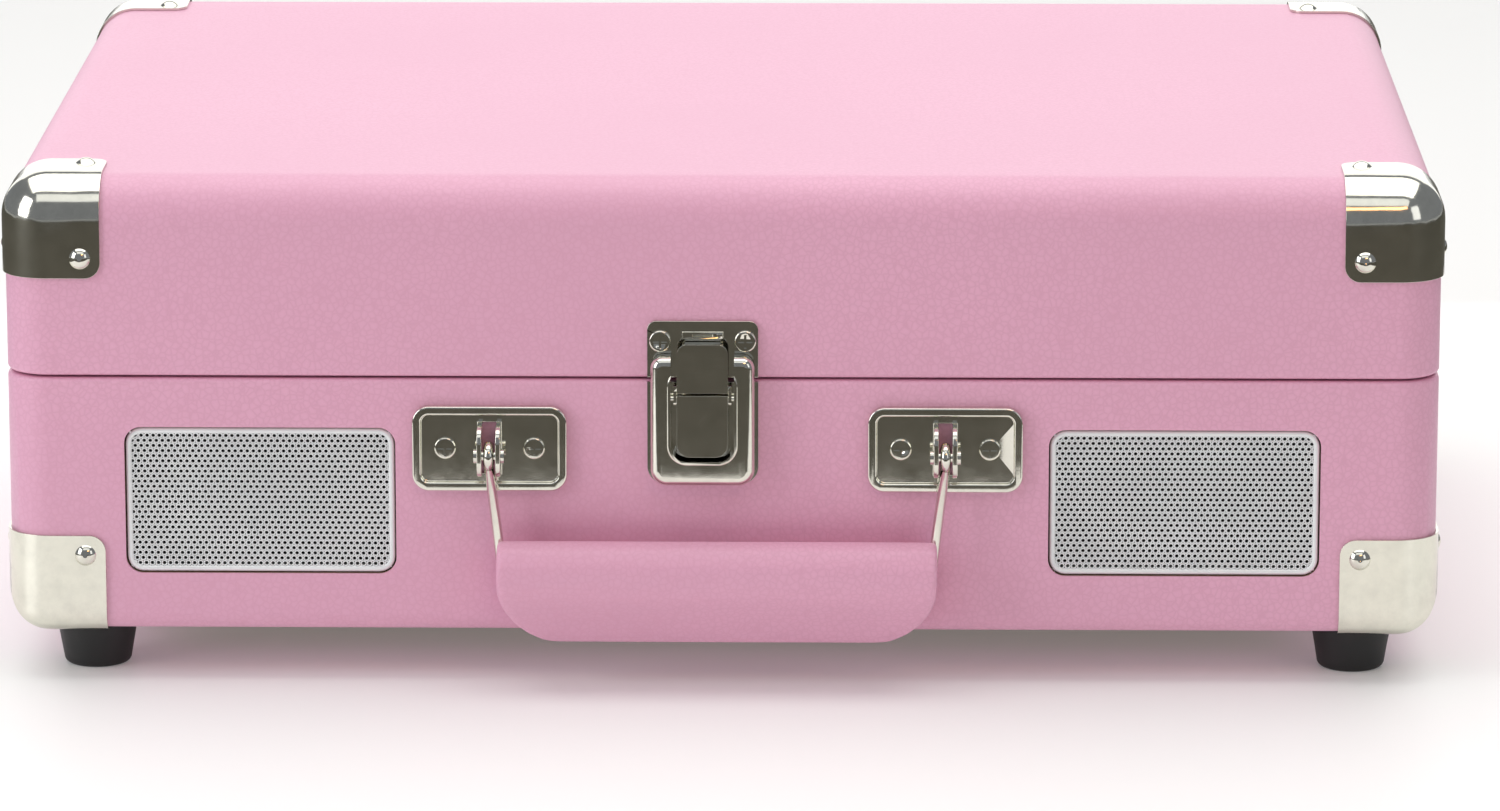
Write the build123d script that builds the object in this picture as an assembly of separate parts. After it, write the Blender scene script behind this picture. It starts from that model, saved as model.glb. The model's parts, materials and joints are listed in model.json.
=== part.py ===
from build123d import *
from math import cos, degrees, radians, sin
import os

# A portable record player in a small suitcase: a lid hinged at the back of a box-shaped base, both of
# board wrapped in leatherette, with pressed metal corners, a draw latch and a padded carrying handle.
# A belt-driven platter, a tonearm and the controls sit on a moulded deck inside the base.
#
# Frame: millimetres, +X to the right, +Y to the back, +Z up. The origin is on the table, under the
# middle of the closed case with its handle and hinges. "Proud" means outwards from a face of the case.

# ---------------------------------------------------------------- driving sizes
CASE_WIDTH = 355.0          # outside of the leatherette, left to right
CASE_DEPTH = 265.0          # front to back
BASE_HEIGHT = 64.5
LID_HEIGHT = 49.1
SEAM = 0.6                  # gap between the closed lid and the base
FOOT_HEIGHT = 12.8          # from the table to the underside of the base
BOARD = 7.0                 # wall and lid board
FLOOR_BOARD = 5.0
SKIN = 0.8                  # leatherette
SKIN_UNDER = 32.0           # width of leatherette turned under the base
UPRIGHT_RADIUS = 11.0       # the four vertical edges
LID_EDGE_RADIUS = 10.5
BASE_EDGE_RADIUS = 5.0      # front and back edges under the base
BASE_SIDE_RADIUS = 11.5     # left and right edges under the base
RIM_RADIUS = 1.2            # leatherette turned over the rims

CLOSE_FIT = 0.05            # still parts laid against each other
RUNNING = 0.05              # radial play of a pin in its bore
GAP = 0.3                   # air between faces that pass each other
ARM_SLOPE = 5.4             # how far the cue lever tips the arm, in degrees
CUE_SWING = 60.0            # how far the cue lever turns, in degrees

# ---------------------------------------------------------------- levels and faces
HANDLE_PROUD = 17.4         # the resting grip in front of the case
HINGE_PIN_PROUD = 3.2
KNUCKLE_RADIUS = 3.0
MIDDLE = (HANDLE_PROUD - HINGE_PIN_PROUD - KNUCKLE_RADIUS) / 2
FRONT = MIDDLE - CASE_DEPTH / 2
BACK = MIDDLE + CASE_DEPTH / 2
UNDERSIDE = FOOT_HEIGHT
RIM = UNDERSIDE + BASE_HEIGHT
LID_RIM = RIM + SEAM
TOP = LID_RIM + LID_HEIGHT
INSET = SKIN + BOARD
INNER_WIDTH = CASE_WIDTH - 2 * INSET
INNER_DEPTH = CASE_DEPTH - 2 * INSET
INNER_RADIUS = UPRIGHT_RADIUS - INSET
FLOOR_TOP = UNDERSIDE + SKIN + FLOOR_BOARD

SIDES = {"left": -1, "right": 1}
ENDS = {"front": -1, "rear": 1}


def out(name, *shapes):
    """Writes one sub-part; its solids stay separate."""
    solids = [solid for shape in shapes for solid in shape.solids()]
    whole = solids[0] if len(solids) == 1 else Compound(children=solids)
    export_step(whole, f"parts/{name}.step")


def upright(outline, low, high):
    """A flat outline raised from one level to another."""
    return extrude(Pos(0, 0, low) * outline, amount=high - low)


def facing(outline, x, z, outer, inner):
    """An outline in X and Z, centred on x and z, as a solid between two Y levels."""
    return extrude(Plane((x, outer, z), x_dir=(1, 0, 0), z_dir=(0, -1, 0)) * outline, amount=outer - inner)


def along_x(radius, length, x, y, z):
    """A round bar along X, centred on the point."""
    return Pos(x, y, z) * Rot(0, 90, 0) * Cylinder(radius, length)


def along_y(radius, y_low, y_high, x, z):
    """A round bar along Y between two levels."""
    return Pos(x, (y_low + y_high) / 2, z) * Rot(90, 0, 0) * Cylinder(radius, y_high - y_low)


def post(radius, low, high, x, y):
    """A round bar along Z between two levels."""
    return Pos(x, y, (low + high) / 2) * Cylinder(radius, high - low)


def block(x_low, x_high, y_low, y_high, z_low, z_high):
    """A box between six planes."""
    middle = Pos((x_low + x_high) / 2, (y_low + y_high) / 2, (z_low + z_high) / 2)
    return middle * Box(x_high - x_low, y_high - y_low, z_high - z_low)


# ---------------------------------------------------------------- the case's outside shape
def base_shape(shrink):
    """The base's outside, drawn in by shrink everywhere but at the rim."""
    width, depth = CASE_WIDTH - 2 * shrink, CASE_DEPTH - 2 * shrink
    outline = Pos(0, MIDDLE) * RectangleRounded(width, depth, UPRIGHT_RADIUS - shrink)
    body = upright(outline, UNDERSIDE + shrink, RIM)
    body = fillet(body.faces().sort_by(Axis.Z)[0].edges(), BASE_EDGE_RADIUS - shrink)
    slab = block(-width / 2, width / 2, FRONT - BOARD, BACK + BOARD, UNDERSIDE + shrink, RIM)
    low_edges = slab.edges().filter_by(Axis.Y).group_by(Axis.Z)[0]
    return body & fillet(low_edges, BASE_SIDE_RADIUS - shrink)


def lid_shape(shrink):
    """The lid's outside, drawn in by shrink everywhere but at the rim."""
    width, depth = CASE_WIDTH - 2 * shrink, CASE_DEPTH - 2 * shrink
    outline = Pos(0, MIDDLE) * RectangleRounded(width, depth, UPRIGHT_RADIUS - shrink)
    body = upright(outline, LID_RIM, TOP - shrink)
    return fillet(body.faces().sort_by(Axis.Z)[-1].edges(), LID_EDGE_RADIUS - shrink)


def inside(low, high, clearance=0.0):
    """The hollow between the walls, drawn in by a clearance."""
    width, depth = INNER_WIDTH - 2 * clearance, INNER_DEPTH - 2 * clearance
    return upright(Pos(0, MIDDLE) * RectangleRounded(width, depth, INNER_RADIUS - clearance), low, high)


# ---------------------------------------------------------------- corners, rivets and feet: sizes
PLATE = 0.7                 # corner sheet
CORNER_REACH = 24.5         # from the case's faces to the flaps' edges
FLAP_RADIUS = 4.0
RIVET_INSET = 19.5
RIVET_HEAD = 2.6
RIVET_DOME = 1.3
RIVET_SHANK = 1.1
RIVET_LENGTH = 6.0
FOOT_INSET = 20.0
FOOT_TOP_RADIUS = 10.3
FOOT_SOLE_RADIUS = 8.2
FOOT_SCREW = 1.5
FOOT_SCREW_HEAD = 3.2
FOOT_SOCKET = 4.0           # depth of the screw's socket in the sole


def corner_zone(side, end, low_corner):
    """The block that a pressed corner covers, with the flaps' free corners rounded."""
    x, y = side * CASE_WIDTH / 2, MIDDLE + end * CASE_DEPTH / 2
    z = UNDERSIDE if low_corner else TOP
    up = 1 if low_corner else -1
    margin = 2 * PLATE
    size = CORNER_REACH + margin
    centre = Pos(
        x - side * (size / 2 - margin), y - end * (size / 2 - margin), z + up * (size / 2 - margin)
    )
    zone = centre * Box(size, size, size)
    inner_point = Vector(x - side * CORNER_REACH, y - end * CORNER_REACH, z + up * CORNER_REACH)
    edges = [
        edge for edge in zone.edges() if min(
            (v.center() - inner_point).length for v in edge.vertices()
        ) < 1e-6
    ]
    return fillet(edges, FLAP_RADIUS)


def rivet(point, direction):
    """A domed nail: head outside the plate, shank into the board."""
    seat = Plane(point, z_dir=direction)
    ball = (RIVET_HEAD**2 + RIVET_DOME**2) / (2 * RIVET_DOME)
    dome = seat * (
        Pos(0, 0, RIVET_DOME - ball) * Sphere(ball) & Pos(0, 0, RIVET_DOME / 2) * Cylinder(ball, RIVET_DOME)
    )
    return dome + seat * Pos(0, 0, -RIVET_LENGTH / 2) * Cylinder(RIVET_SHANK, RIVET_LENGTH)


def rivet_seats(side, end, low_corner):
    """Where one corner's rivets sit, and which way they face. A foot's screw holds the flap underneath."""
    x, y = side * CASE_WIDTH / 2, MIDDLE + end * CASE_DEPTH / 2
    proud = PLATE + CLOSE_FIT
    z = UNDERSIDE + RIVET_INSET if low_corner else TOP - RIVET_INSET
    seats = [
        ((x - side * RIVET_INSET, y + end * proud, z), (0, end, 0)),
        ((x + side * proud, y - end * RIVET_INSET, z), (side, 0, 0)),
    ]
    if not low_corner:
        seats.append(((x - side * RIVET_INSET, y - end * RIVET_INSET, TOP + proud), (0, 0, 1)))
    return seats


def shank_hole(point, direction):
    """The hole that a rivet's shank leaves in what it passes through."""
    seat = Plane(point, z_dir=direction)
    return seat * Pos(0, 0, -RIVET_LENGTH / 2) * Cylinder(
        RIVET_SHANK + CLOSE_FIT, RIVET_LENGTH + 2 * CLOSE_FIT
    )


CORNERS = [(side_name, end_name) for end_name in ENDS for side_name in SIDES]
BASE_SEATS = [seat for s, e in CORNERS for seat in rivet_seats(SIDES[s], ENDS[e], True)]
LID_SEATS = [seat for s, e in CORNERS for seat in rivet_seats(SIDES[s], ENDS[e], False)]
FEET_AT = [
    (side * (CASE_WIDTH / 2 - FOOT_INSET), MIDDLE + end * (CASE_DEPTH / 2 - FOOT_INSET))
    for side in SIDES.values()
    for end in ENDS.values()
]
FOOT_TOP = UNDERSIDE - PLATE - CLOSE_FIT
FOOT_SCREW_TIP = FLOOR_TOP - GAP


def foot_screw_hole(x, y):
    return post(FOOT_SCREW + CLOSE_FIT, 0, FOOT_SCREW_TIP + CLOSE_FIT, x, y)


# ---------------------------------------------------------------- small screws
SCREW_HEAD = 2.7
SCREW_DOME = 0.9
SCREW_SHANK = 1.2
SCREW_LENGTH = 6.0
CROSS_WIDTH = 0.6
CROSS_DEPTH = 0.7


def small_screw(point, direction, head=SCREW_HEAD):
    """A cross-head wood screw whose head stands on the point."""
    seat = Plane(point, z_dir=direction)
    head_solid = Pos(0, 0, SCREW_DOME / 2) * Cylinder(head, SCREW_DOME)
    head_solid = fillet(head_solid.edges().group_by(Axis.Z)[-1], SCREW_DOME / 2)
    for turn in (0, 90):
        slot = Box(1.3 * head, CROSS_WIDTH, CROSS_DEPTH)
        head_solid -= Pos(0, 0, SCREW_DOME - CROSS_DEPTH / 2) * Rot(0, 0, turn) * slot
    return seat * (head_solid + Pos(0, 0, -SCREW_LENGTH / 2) * Cylinder(SCREW_SHANK, SCREW_LENGTH))


def screw_hole(point, direction):
    """The hole that a small screw's shank leaves."""
    seat = Plane(point, z_dir=direction)
    return seat * Pos(0, 0, -SCREW_LENGTH / 2) * Cylinder(
        SCREW_SHANK + CLOSE_FIT, SCREW_LENGTH + 2 * CLOSE_FIT
    )


# ---------------------------------------------------------------- handle brackets: sizes
HANDLE_X = -1.1             # the handle's middle, a little left of the case's
BRACKET_SPREAD = 56.3       # from the handle's middle to each bracket's
BRACKET_WIDTH = 38.3
BRACKET_HEIGHT = 21.4
BRACKET_BELOW_RIM = 17.1    # the bracket's middle
BRACKET_PLATE = 1.0
BRACKET_BEAD = 1.5          # height of the raised border
BRACKET_BORDER = 2.2
BRACKET_RADIUS = 4.2
BRACKET_SCREWS = 11.0       # from the bracket's middle to each screw
LUG_THICK = 1.2
LUG_GAP = 3.4
LUG_HEIGHT = 13.0
LUG_PROUD = 8.6
WINDOW_WIDTH = LUG_GAP + 2 * LUG_THICK
PIN_RADIUS = 1.2
PIN_PROUD = 5.6
BRACKET_Z = RIM - BRACKET_BELOW_RIM
PIN_Z = BRACKET_Z - 1.0
BRACKETS_AT = {name: HANDLE_X + side * BRACKET_SPREAD for name, side in SIDES.items()}
BRACKET_SEATS = [
    ((x + side * BRACKET_SCREWS, FRONT - BRACKET_PLATE, BRACKET_Z), (0, -1, 0))
    for x in BRACKETS_AT.values()
    for side in SIDES.values()
]

# ---------------------------------------------------------------- hinges: sizes
HINGE_X = 108.0
HINGE_WIDTH = 34.0
HINGE_LEAF = 1.2
HINGE_LEAF_HEIGHT = 16.0
HINGE_PIN = 1.3
HINGE_Y = BACK + HINGE_PIN_PROUD
HINGE_Z = RIM + SEAM / 2
HINGE_CLEAR = KNUCKLE_RADIUS + 0.4
HINGE_SCREWS = 11.0


def hinge_seats(up):
    """The two screws of each hinge's leaf, above (1) or below (-1) the pin."""
    z = HINGE_Z + up * (HINGE_CLEAR + HINGE_LEAF_HEIGHT / 2)
    return [
        ((side * HINGE_X + hand * HINGE_SCREWS, BACK + HINGE_LEAF, z), (0, 1, 0))
        for side in SIDES.values()
        for hand in SIDES.values()
    ]


# ---------------------------------------------------------------- latch: sizes
LATCH_X = -4.7              # the latch sits a little left of the middle
CATCH_WIDTH = 27.4
CATCH_HEIGHT = 14.2
CATCH_PLATE = 1.0
CATCH_SCREWS = 10.5
CATCH_SCREW_UP = 9.8        # above the seam
FRAME_WIDTH = 25.6
FRAME_TOP = 6.6             # above the seam
FRAME_BOTTOM = 26.0         # below the seam
FRAME_PROUD = 6.2
FRAME_PLATE = 0.9
FRAME_CLEAR = 1.5           # back of the frame's horns to the case, so the catch plate passes behind
WINDOW_BOTTOM = 19.6        # below the seam
TONGUE_WIDTH = 12.6
TONGUE_ROOM = 1.5           # each side of the lever, where the hasp's arms run
WINDOW_HALF = TONGUE_WIDTH / 2 + TONGUE_ROOM
TONGUE_SHEET = 1.0
TONGUE_PROUD = 6.1          # outer face of lever and hasp
LEVER_TOP = 3.0             # below the seam
LEVER_BOTTOM = 18.5
HASP_BOTTOM = 2.3           # below the seam
HASP_TOP = 9.9              # above the seam
LIP_TOP = 8.4               # above the seam
LIP_PROUD = 3.8
LIP_SHEET = 0.8
HOOK_GRIP = 0.2             # how far the hasp's hook reaches down behind the lip
HOOK_SHEET = 0.7
HOOK_GAP = 0.45             # air between the hook and the lip it holds
HOOK_HALF = 4.4
LATCH_PIN = 0.6
LEVER_PIN_PROUD = 2.6
LEVER_PIN_BELOW = 4.4
CHEEK_SHEET = 1.2
BEAD = 0.9                  # rolled rim round the frame's window: its width
BEAD_PROUD = 6.6
SLOT_LOOP_LOW = 10.5        # slotted strip on the catch plate, above the seam
SLOT_LOOP_HIGH = 12.1
SLOT_LOOP_PROUD = 1.7
HASP_PIN = 0.4
HASP_PIN_OUT = 1.55         # from the lever's pin to the hasp's, outwards
HASP_PIN_DOWN = 0.6         # and down
HASP_ARM = 0.7              # sheet of the hasp's two arms, which reach down beside the lever
HASP_ARM_HALF = 0.65        # half an arm's depth, and the radius round the pin's hole
SEAM_Z = RIM + SEAM / 2
CATCH_SEATS = [
    ((LATCH_X + side * CATCH_SCREWS, FRONT - CATCH_PLATE, SEAM_Z + CATCH_SCREW_UP), (0, -1, 0))
    for side in SIDES.values()
]

# ---------------------------------------------------------------- speakers: sizes
SPEAKER_X = 114.4
SPEAKER_BELOW_RIM = 31.0
GRILLE_WIDTH = 66.6
GRILLE_HEIGHT = 36.7
GRILLE_RADIUS = 4.0
GRILLE_SHEET = 0.8
GRILLE_SUNK = 0.6
SPEAKER_Z = RIM - SPEAKER_BELOW_RIM
SPEAKER_LENGTH = 79.0
SPEAKER_WIDTH = 38.8
SPEAKER_FLANGE = 1.6
SPEAKER_SCREWS = 36.4       # from the speaker's middle to each screw
BASKET_DEPTH = 15.0
MAGNET_RADIUS = 15.0
MAGNET_DEPTH = 9.0
SPEAKERS_AT = [side * SPEAKER_X for side in SIDES.values()]
SPEAKER_SEATS = [
    ((x + side * SPEAKER_SCREWS, FRONT + INSET + SPEAKER_FLANGE, SPEAKER_Z), (0, 1, 0))
    for x in SPEAKERS_AT
    for side in SIDES.values()
]

# ---------------------------------------------------------------- rear panel: sizes
PANEL_X = -40.0
PANEL_Z = UNDERSIDE + 30.0
PANEL_WIDTH = 70.0
PANEL_HEIGHT = 24.0
PANEL_RADIUS = 3.0
PANEL_LIP = 4.0             # border outside the opening
PANEL_SHEET = 1.5
PANEL_DEEP = 6.0            # how far its floor lies inside the back


def front_openings():
    """The speaker windows through leatherette and board."""
    window = RectangleRounded(GRILLE_WIDTH + 2 * GAP, GRILLE_HEIGHT + 2 * GAP, GRILLE_RADIUS + GAP)
    return [
        facing(window, side * SPEAKER_X, SPEAKER_Z, FRONT + 2 * INSET, FRONT - INSET) for side in SIDES.values()
    ]


def rear_opening():
    window = RectangleRounded(PANEL_WIDTH + 2 * GAP, PANEL_HEIGHT + 2 * GAP, PANEL_RADIUS + GAP)
    return facing(window, PANEL_X, PANEL_Z, BACK + INSET, BACK - 2 * INSET)


BASE_HOLES = (
    [shank_hole(*seat) for seat in BASE_SEATS]
    + [screw_hole(*seat) for seat in BRACKET_SEATS + SPEAKER_SEATS + hinge_seats(-1)]
    + [foot_screw_hole(x, y) for x, y in FEET_AT]
)
LID_HOLES = [shank_hole(*seat) for seat in LID_SEATS] + [
    screw_hole(*seat) for seat in CATCH_SEATS + hinge_seats(1)
]


# ---------------------------------------------------------------- base: board, floor and leatherette
def build_base_case():
    openings = front_openings() + [rear_opening()]
    boards_outside = base_shape(SKIN) & block(-CASE_WIDTH, CASE_WIDTH, FRONT, BACK, 0, RIM - SKIN)
    walls = boards_outside - inside(0, RIM) - openings - BASE_HOLES
    floor = (boards_outside & inside(0, FLOOR_TOP, CLOSE_FIT)) - BASE_HOLES
    outer = base_shape(0)
    outer = fillet(outer.faces().sort_by(Axis.Z)[-1].edges(), RIM_RADIUS)
    window = upright(
        Pos(0, MIDDLE) * Rectangle(CASE_WIDTH - 2 * SKIN_UNDER, CASE_DEPTH - 2 * SKIN_UNDER), 0, FLOOR_TOP
    )
    skin = outer - boards_outside - inside(FLOOR_TOP, RIM) - window - openings - BASE_HOLES
    out("base_walls", walls)
    out("base_floor", floor)
    out("base_covering", skin)


# ---------------------------------------------------------------- lid: board and leatherette
def build_lid_case():
    boards_outside = lid_shape(SKIN) & block(-CASE_WIDTH, CASE_WIDTH, FRONT, BACK, LID_RIM + SKIN, TOP)
    hollow = inside(LID_RIM, TOP - INSET)
    outer = lid_shape(0)
    outer = fillet(outer.faces().sort_by(Axis.Z)[0].edges(), RIM_RADIUS)
    out("lid_box", boards_outside - hollow - LID_HOLES)
    out("lid_covering", outer - boards_outside - hollow - LID_HOLES)


# ---------------------------------------------------------------- corners, rivets and feet
def build_corners():
    for shape, low_corner, label, seats in (
        (base_shape, True, "base", BASE_SEATS),
        (lid_shape, False, "lid", LID_SEATS),
    ):
        sheet = shape(-PLATE - CLOSE_FIT) - shape(-CLOSE_FIT) - [shank_hole(*seat) for seat in seats]
        if low_corner:
            sheet -= [foot_screw_hole(x, y) for x, y in FEET_AT]
        corners = [sheet & corner_zone(SIDES[side], ENDS[end], low_corner) for side, end in CORNERS]
        out(f"{label}_corners", *corners)
        out(f"{label}_rivets", *[rivet(*seat) for seat in seats])


def build_feet():
    feet, screws = [], []
    for x, y in FEET_AT:
        foot = Pos(x, y, FOOT_TOP / 2) * Cone(FOOT_SOLE_RADIUS, FOOT_TOP_RADIUS, FOOT_TOP)
        foot = fillet(foot.edges().group_by(Axis.Z)[0], FOOT_SOLE_RADIUS / 5)
        foot -= post(FOOT_SCREW_HEAD + GAP, 0, FOOT_SOCKET, x, y) + foot_screw_hole(x, y)
        feet.append(foot)
        head = post(FOOT_SCREW_HEAD, FOOT_SOCKET - 1.8, FOOT_SOCKET, x, y)
        screws.append(head + post(FOOT_SCREW, FOOT_SOCKET, FOOT_SCREW_TIP, x, y))
    out("feet", *feet)
    out("foot_screws", *screws)


# ---------------------------------------------------------------- handle
GRIP_LENGTH = 108.6
GRIP_TOP = 39.2             # height of the resting grip's upper edge above the table
GRIP_HEIGHT = 28.0
GRIP_THICK = 16.8
GRIP_BULGE = 14.0           # height of the rounded upper part
GRIP_END_RADIUS = 17.0
GRIP_SOLE_RADIUS = 3.0
WIRE = 1.25                 # radius of the handle's wire loops
WIRE_INSET = 3.4            # how far the wires lean in on their way to the grip
WIRE_TAIL = 12.0            # length of wire inside the grip
GRIP_BACK = HANDLE_PROUD - GRIP_THICK
GRIP_MIDDLE = FRONT - GRIP_BACK - GRIP_THICK / 2
EYE_RADIUS = PIN_RADIUS + RUNNING + WIRE


def wire_path(x, side):
    """The wire from its eye down and in to the grip's end, then along inside the grip."""
    start = Vector(x, FRONT - PIN_PROUD, PIN_Z - EYE_RADIUS)
    knee = Vector(x - side * WIRE_INSET, GRIP_MIDDLE, GRIP_TOP - GRIP_HEIGHT / 3)
    end = knee - Vector(side * WIRE_TAIL, 0, 0)
    return FilletPolyline(start, knee, end, radius=2.5 * WIRE)


def swept_wire(path, radius):
    return sweep(Plane(path @ 0, z_dir=path % 0) * Circle(radius), path)


def build_handle():
    shoulder = GRIP_HEIGHT - GRIP_BULGE
    crown = Pos(0, shoulder) * Ellipse(GRIP_THICK / 2, GRIP_BULGE)
    section = crown & Pos(0, GRIP_HEIGHT) * Rectangle(GRIP_THICK, 2 * GRIP_BULGE)
    skirt = Pos(0, shoulder / 2) * Rectangle(GRIP_THICK, shoulder)
    section += fillet(skirt.vertices().group_by(Axis.Y)[0], GRIP_SOLE_RADIUS)
    across = Plane(
        (HANDLE_X - GRIP_LENGTH / 2, GRIP_MIDDLE, GRIP_TOP - GRIP_HEIGHT), x_dir=(0, 1, 0), z_dir=(1, 0, 0)
    )
    grip = extrude(across * section, amount=GRIP_LENGTH)
    mask = block(
        HANDLE_X - GRIP_LENGTH / 2, HANDLE_X + GRIP_LENGTH / 2, GRIP_MIDDLE - GRIP_THICK,
        GRIP_MIDDLE + GRIP_THICK, GRIP_TOP - GRIP_HEIGHT, GRIP_TOP,
    )
    mask = fillet(mask.edges().filter_by(Axis.Y).group_by(Axis.Z)[0], GRIP_END_RADIUS)
    grip &= mask
    for name, side in SIDES.items():
        x = BRACKETS_AT[name]
        path = wire_path(x, side)
        eye = Pos(x, FRONT - PIN_PROUD, PIN_Z) * Rot(0, 90, 0) * Torus(EYE_RADIUS + CLOSE_FIT, WIRE)
        out(f"handle_wire_{name}", eye + swept_wire(path, WIRE))
        grip -= swept_wire(path, WIRE + CLOSE_FIT)
    out("handle_grip", grip)


def build_brackets():
    pins = []
    for name, x in BRACKETS_AT.items():
        plate = facing(
            RectangleRounded(BRACKET_WIDTH, BRACKET_HEIGHT, BRACKET_RADIUS), x, BRACKET_Z,
            FRONT, FRONT - BRACKET_PLATE - BRACKET_BEAD,
        )
        tray = RectangleRounded(
            BRACKET_WIDTH - 2 * BRACKET_BORDER, BRACKET_HEIGHT - 2 * BRACKET_BORDER,
            BRACKET_RADIUS - BRACKET_BORDER
        )
        plate -= facing(tray, x, BRACKET_Z, FRONT - BRACKET_PLATE, FRONT - LUG_PROUD)
        plate = fillet(
            plate.edges().filter_by(GeomType.LINE).filter_by(Axis.X).group_by(Axis.Y)[0], BRACKET_BEAD / 3
        )
        window = block(
            x - WINDOW_WIDTH / 2, x + WINDOW_WIDTH / 2, FRONT - BRACKET_PLATE - GAP, FRONT + GAP,
            BRACKET_Z - LUG_HEIGHT / 2, BRACKET_Z + LUG_HEIGHT / 2,
        )
        plate -= window
        for side in SIDES.values():
            lug_x = x + side * (LUG_GAP + LUG_THICK) / 2
            lug = block(
                lug_x - LUG_THICK / 2, lug_x + LUG_THICK / 2, FRONT - LUG_PROUD, FRONT,
                BRACKET_Z - LUG_HEIGHT / 2, BRACKET_Z + LUG_HEIGHT / 2,
            )
            nose = lug.edges().filter_by(Axis.X).group_by(Axis.Y)[0]
            plate += fillet(nose, LUG_HEIGHT / 3)
        bore = along_x(PIN_RADIUS + RUNNING, 2 * WINDOW_WIDTH, x, FRONT - PIN_PROUD, PIN_Z)
        holes = [screw_hole(*seat) for seat in BRACKET_SEATS]
        out(f"handle_bracket_{name}", plate - bore - holes)
        rod = along_x(PIN_RADIUS, WINDOW_WIDTH + 1.6, x, FRONT - PIN_PROUD, PIN_Z)
        heads = [
            along_x(
                1.5 * PIN_RADIUS, 0.8, x + side * (
                    WINDOW_WIDTH / 2 + CLOSE_FIT + 0.4
                ), FRONT - PIN_PROUD, PIN_Z
            )
            for side in SIDES.values()
        ]
        pins.append(rod + heads)
    out("handle_pins", *pins)
    out("base_screws", *[small_screw(*seat) for seat in BRACKET_SEATS + hinge_seats(-1)])


# ---------------------------------------------------------------- hinges
def hinge_leaf(x, up):
    """One leaf with its knuckles: the two outer ones below, the middle one above."""
    low, high = sorted((HINGE_Z + up * HINGE_CLEAR, HINGE_Z + up * (HINGE_CLEAR + HINGE_LEAF_HEIGHT)))
    leaf = block(x - HINGE_WIDTH / 2, x + HINGE_WIDTH / 2, BACK, BACK + HINGE_LEAF, low, high)
    far = leaf.edges().filter_by(Axis.Y).group_by(Axis.Z)[-1 if up > 0 else 0]
    leaf = fillet(far, HINGE_LEAF_HEIGHT / 5)
    third = HINGE_WIDTH / 3
    spans = [(-third / 2, third / 2)] if up > 0 else [(-1.5 * third, -third / 2), (third / 2, 1.5 * third)]
    for start, end in spans:
        start, end = x + start + GAP / 2, x + end - GAP / 2
        barrel = along_x(KNUCKLE_RADIUS, end - start, (start + end) / 2, HINGE_Y, HINGE_Z)
        edge = HINGE_Z + up * (HINGE_CLEAR + HINGE_LEAF)
        tab = block(start, end, BACK, BACK + HINGE_LEAF, *sorted((edge, HINGE_Z + up * SEAM)))
        leaf += barrel + tab
    bore = along_x(HINGE_PIN + RUNNING, 2 * HINGE_WIDTH, x, HINGE_Y, HINGE_Z)
    holes = [screw_hole(*seat) for seat in hinge_seats(up)]
    return leaf - bore - holes


def build_hinges():
    xs = [side * HINGE_X for side in SIDES.values()]
    out("hinge_leaves_base", *[hinge_leaf(x, -1) for x in xs])
    out("hinge_leaves_lid", *[hinge_leaf(x, 1) for x in xs])
    out("hinge_pins", *[along_x(HINGE_PIN, HINGE_WIDTH + 1, x, HINGE_Y, HINGE_Z) for x in xs])
    out("lid_screws", *[small_screw(*seat) for seat in CATCH_SEATS + hinge_seats(1)])


# ---------------------------------------------------------------- latch
def front_block(x_half, proud_low, proud_high, up_low, up_high, x=LATCH_X):
    """A box on the front face, measured from the latch's middle, the case's front and the seam."""
    return block(
        x - x_half, x + x_half, FRONT - proud_high, FRONT - proud_low, SEAM_Z + up_low, SEAM_Z + up_high
    )


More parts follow.
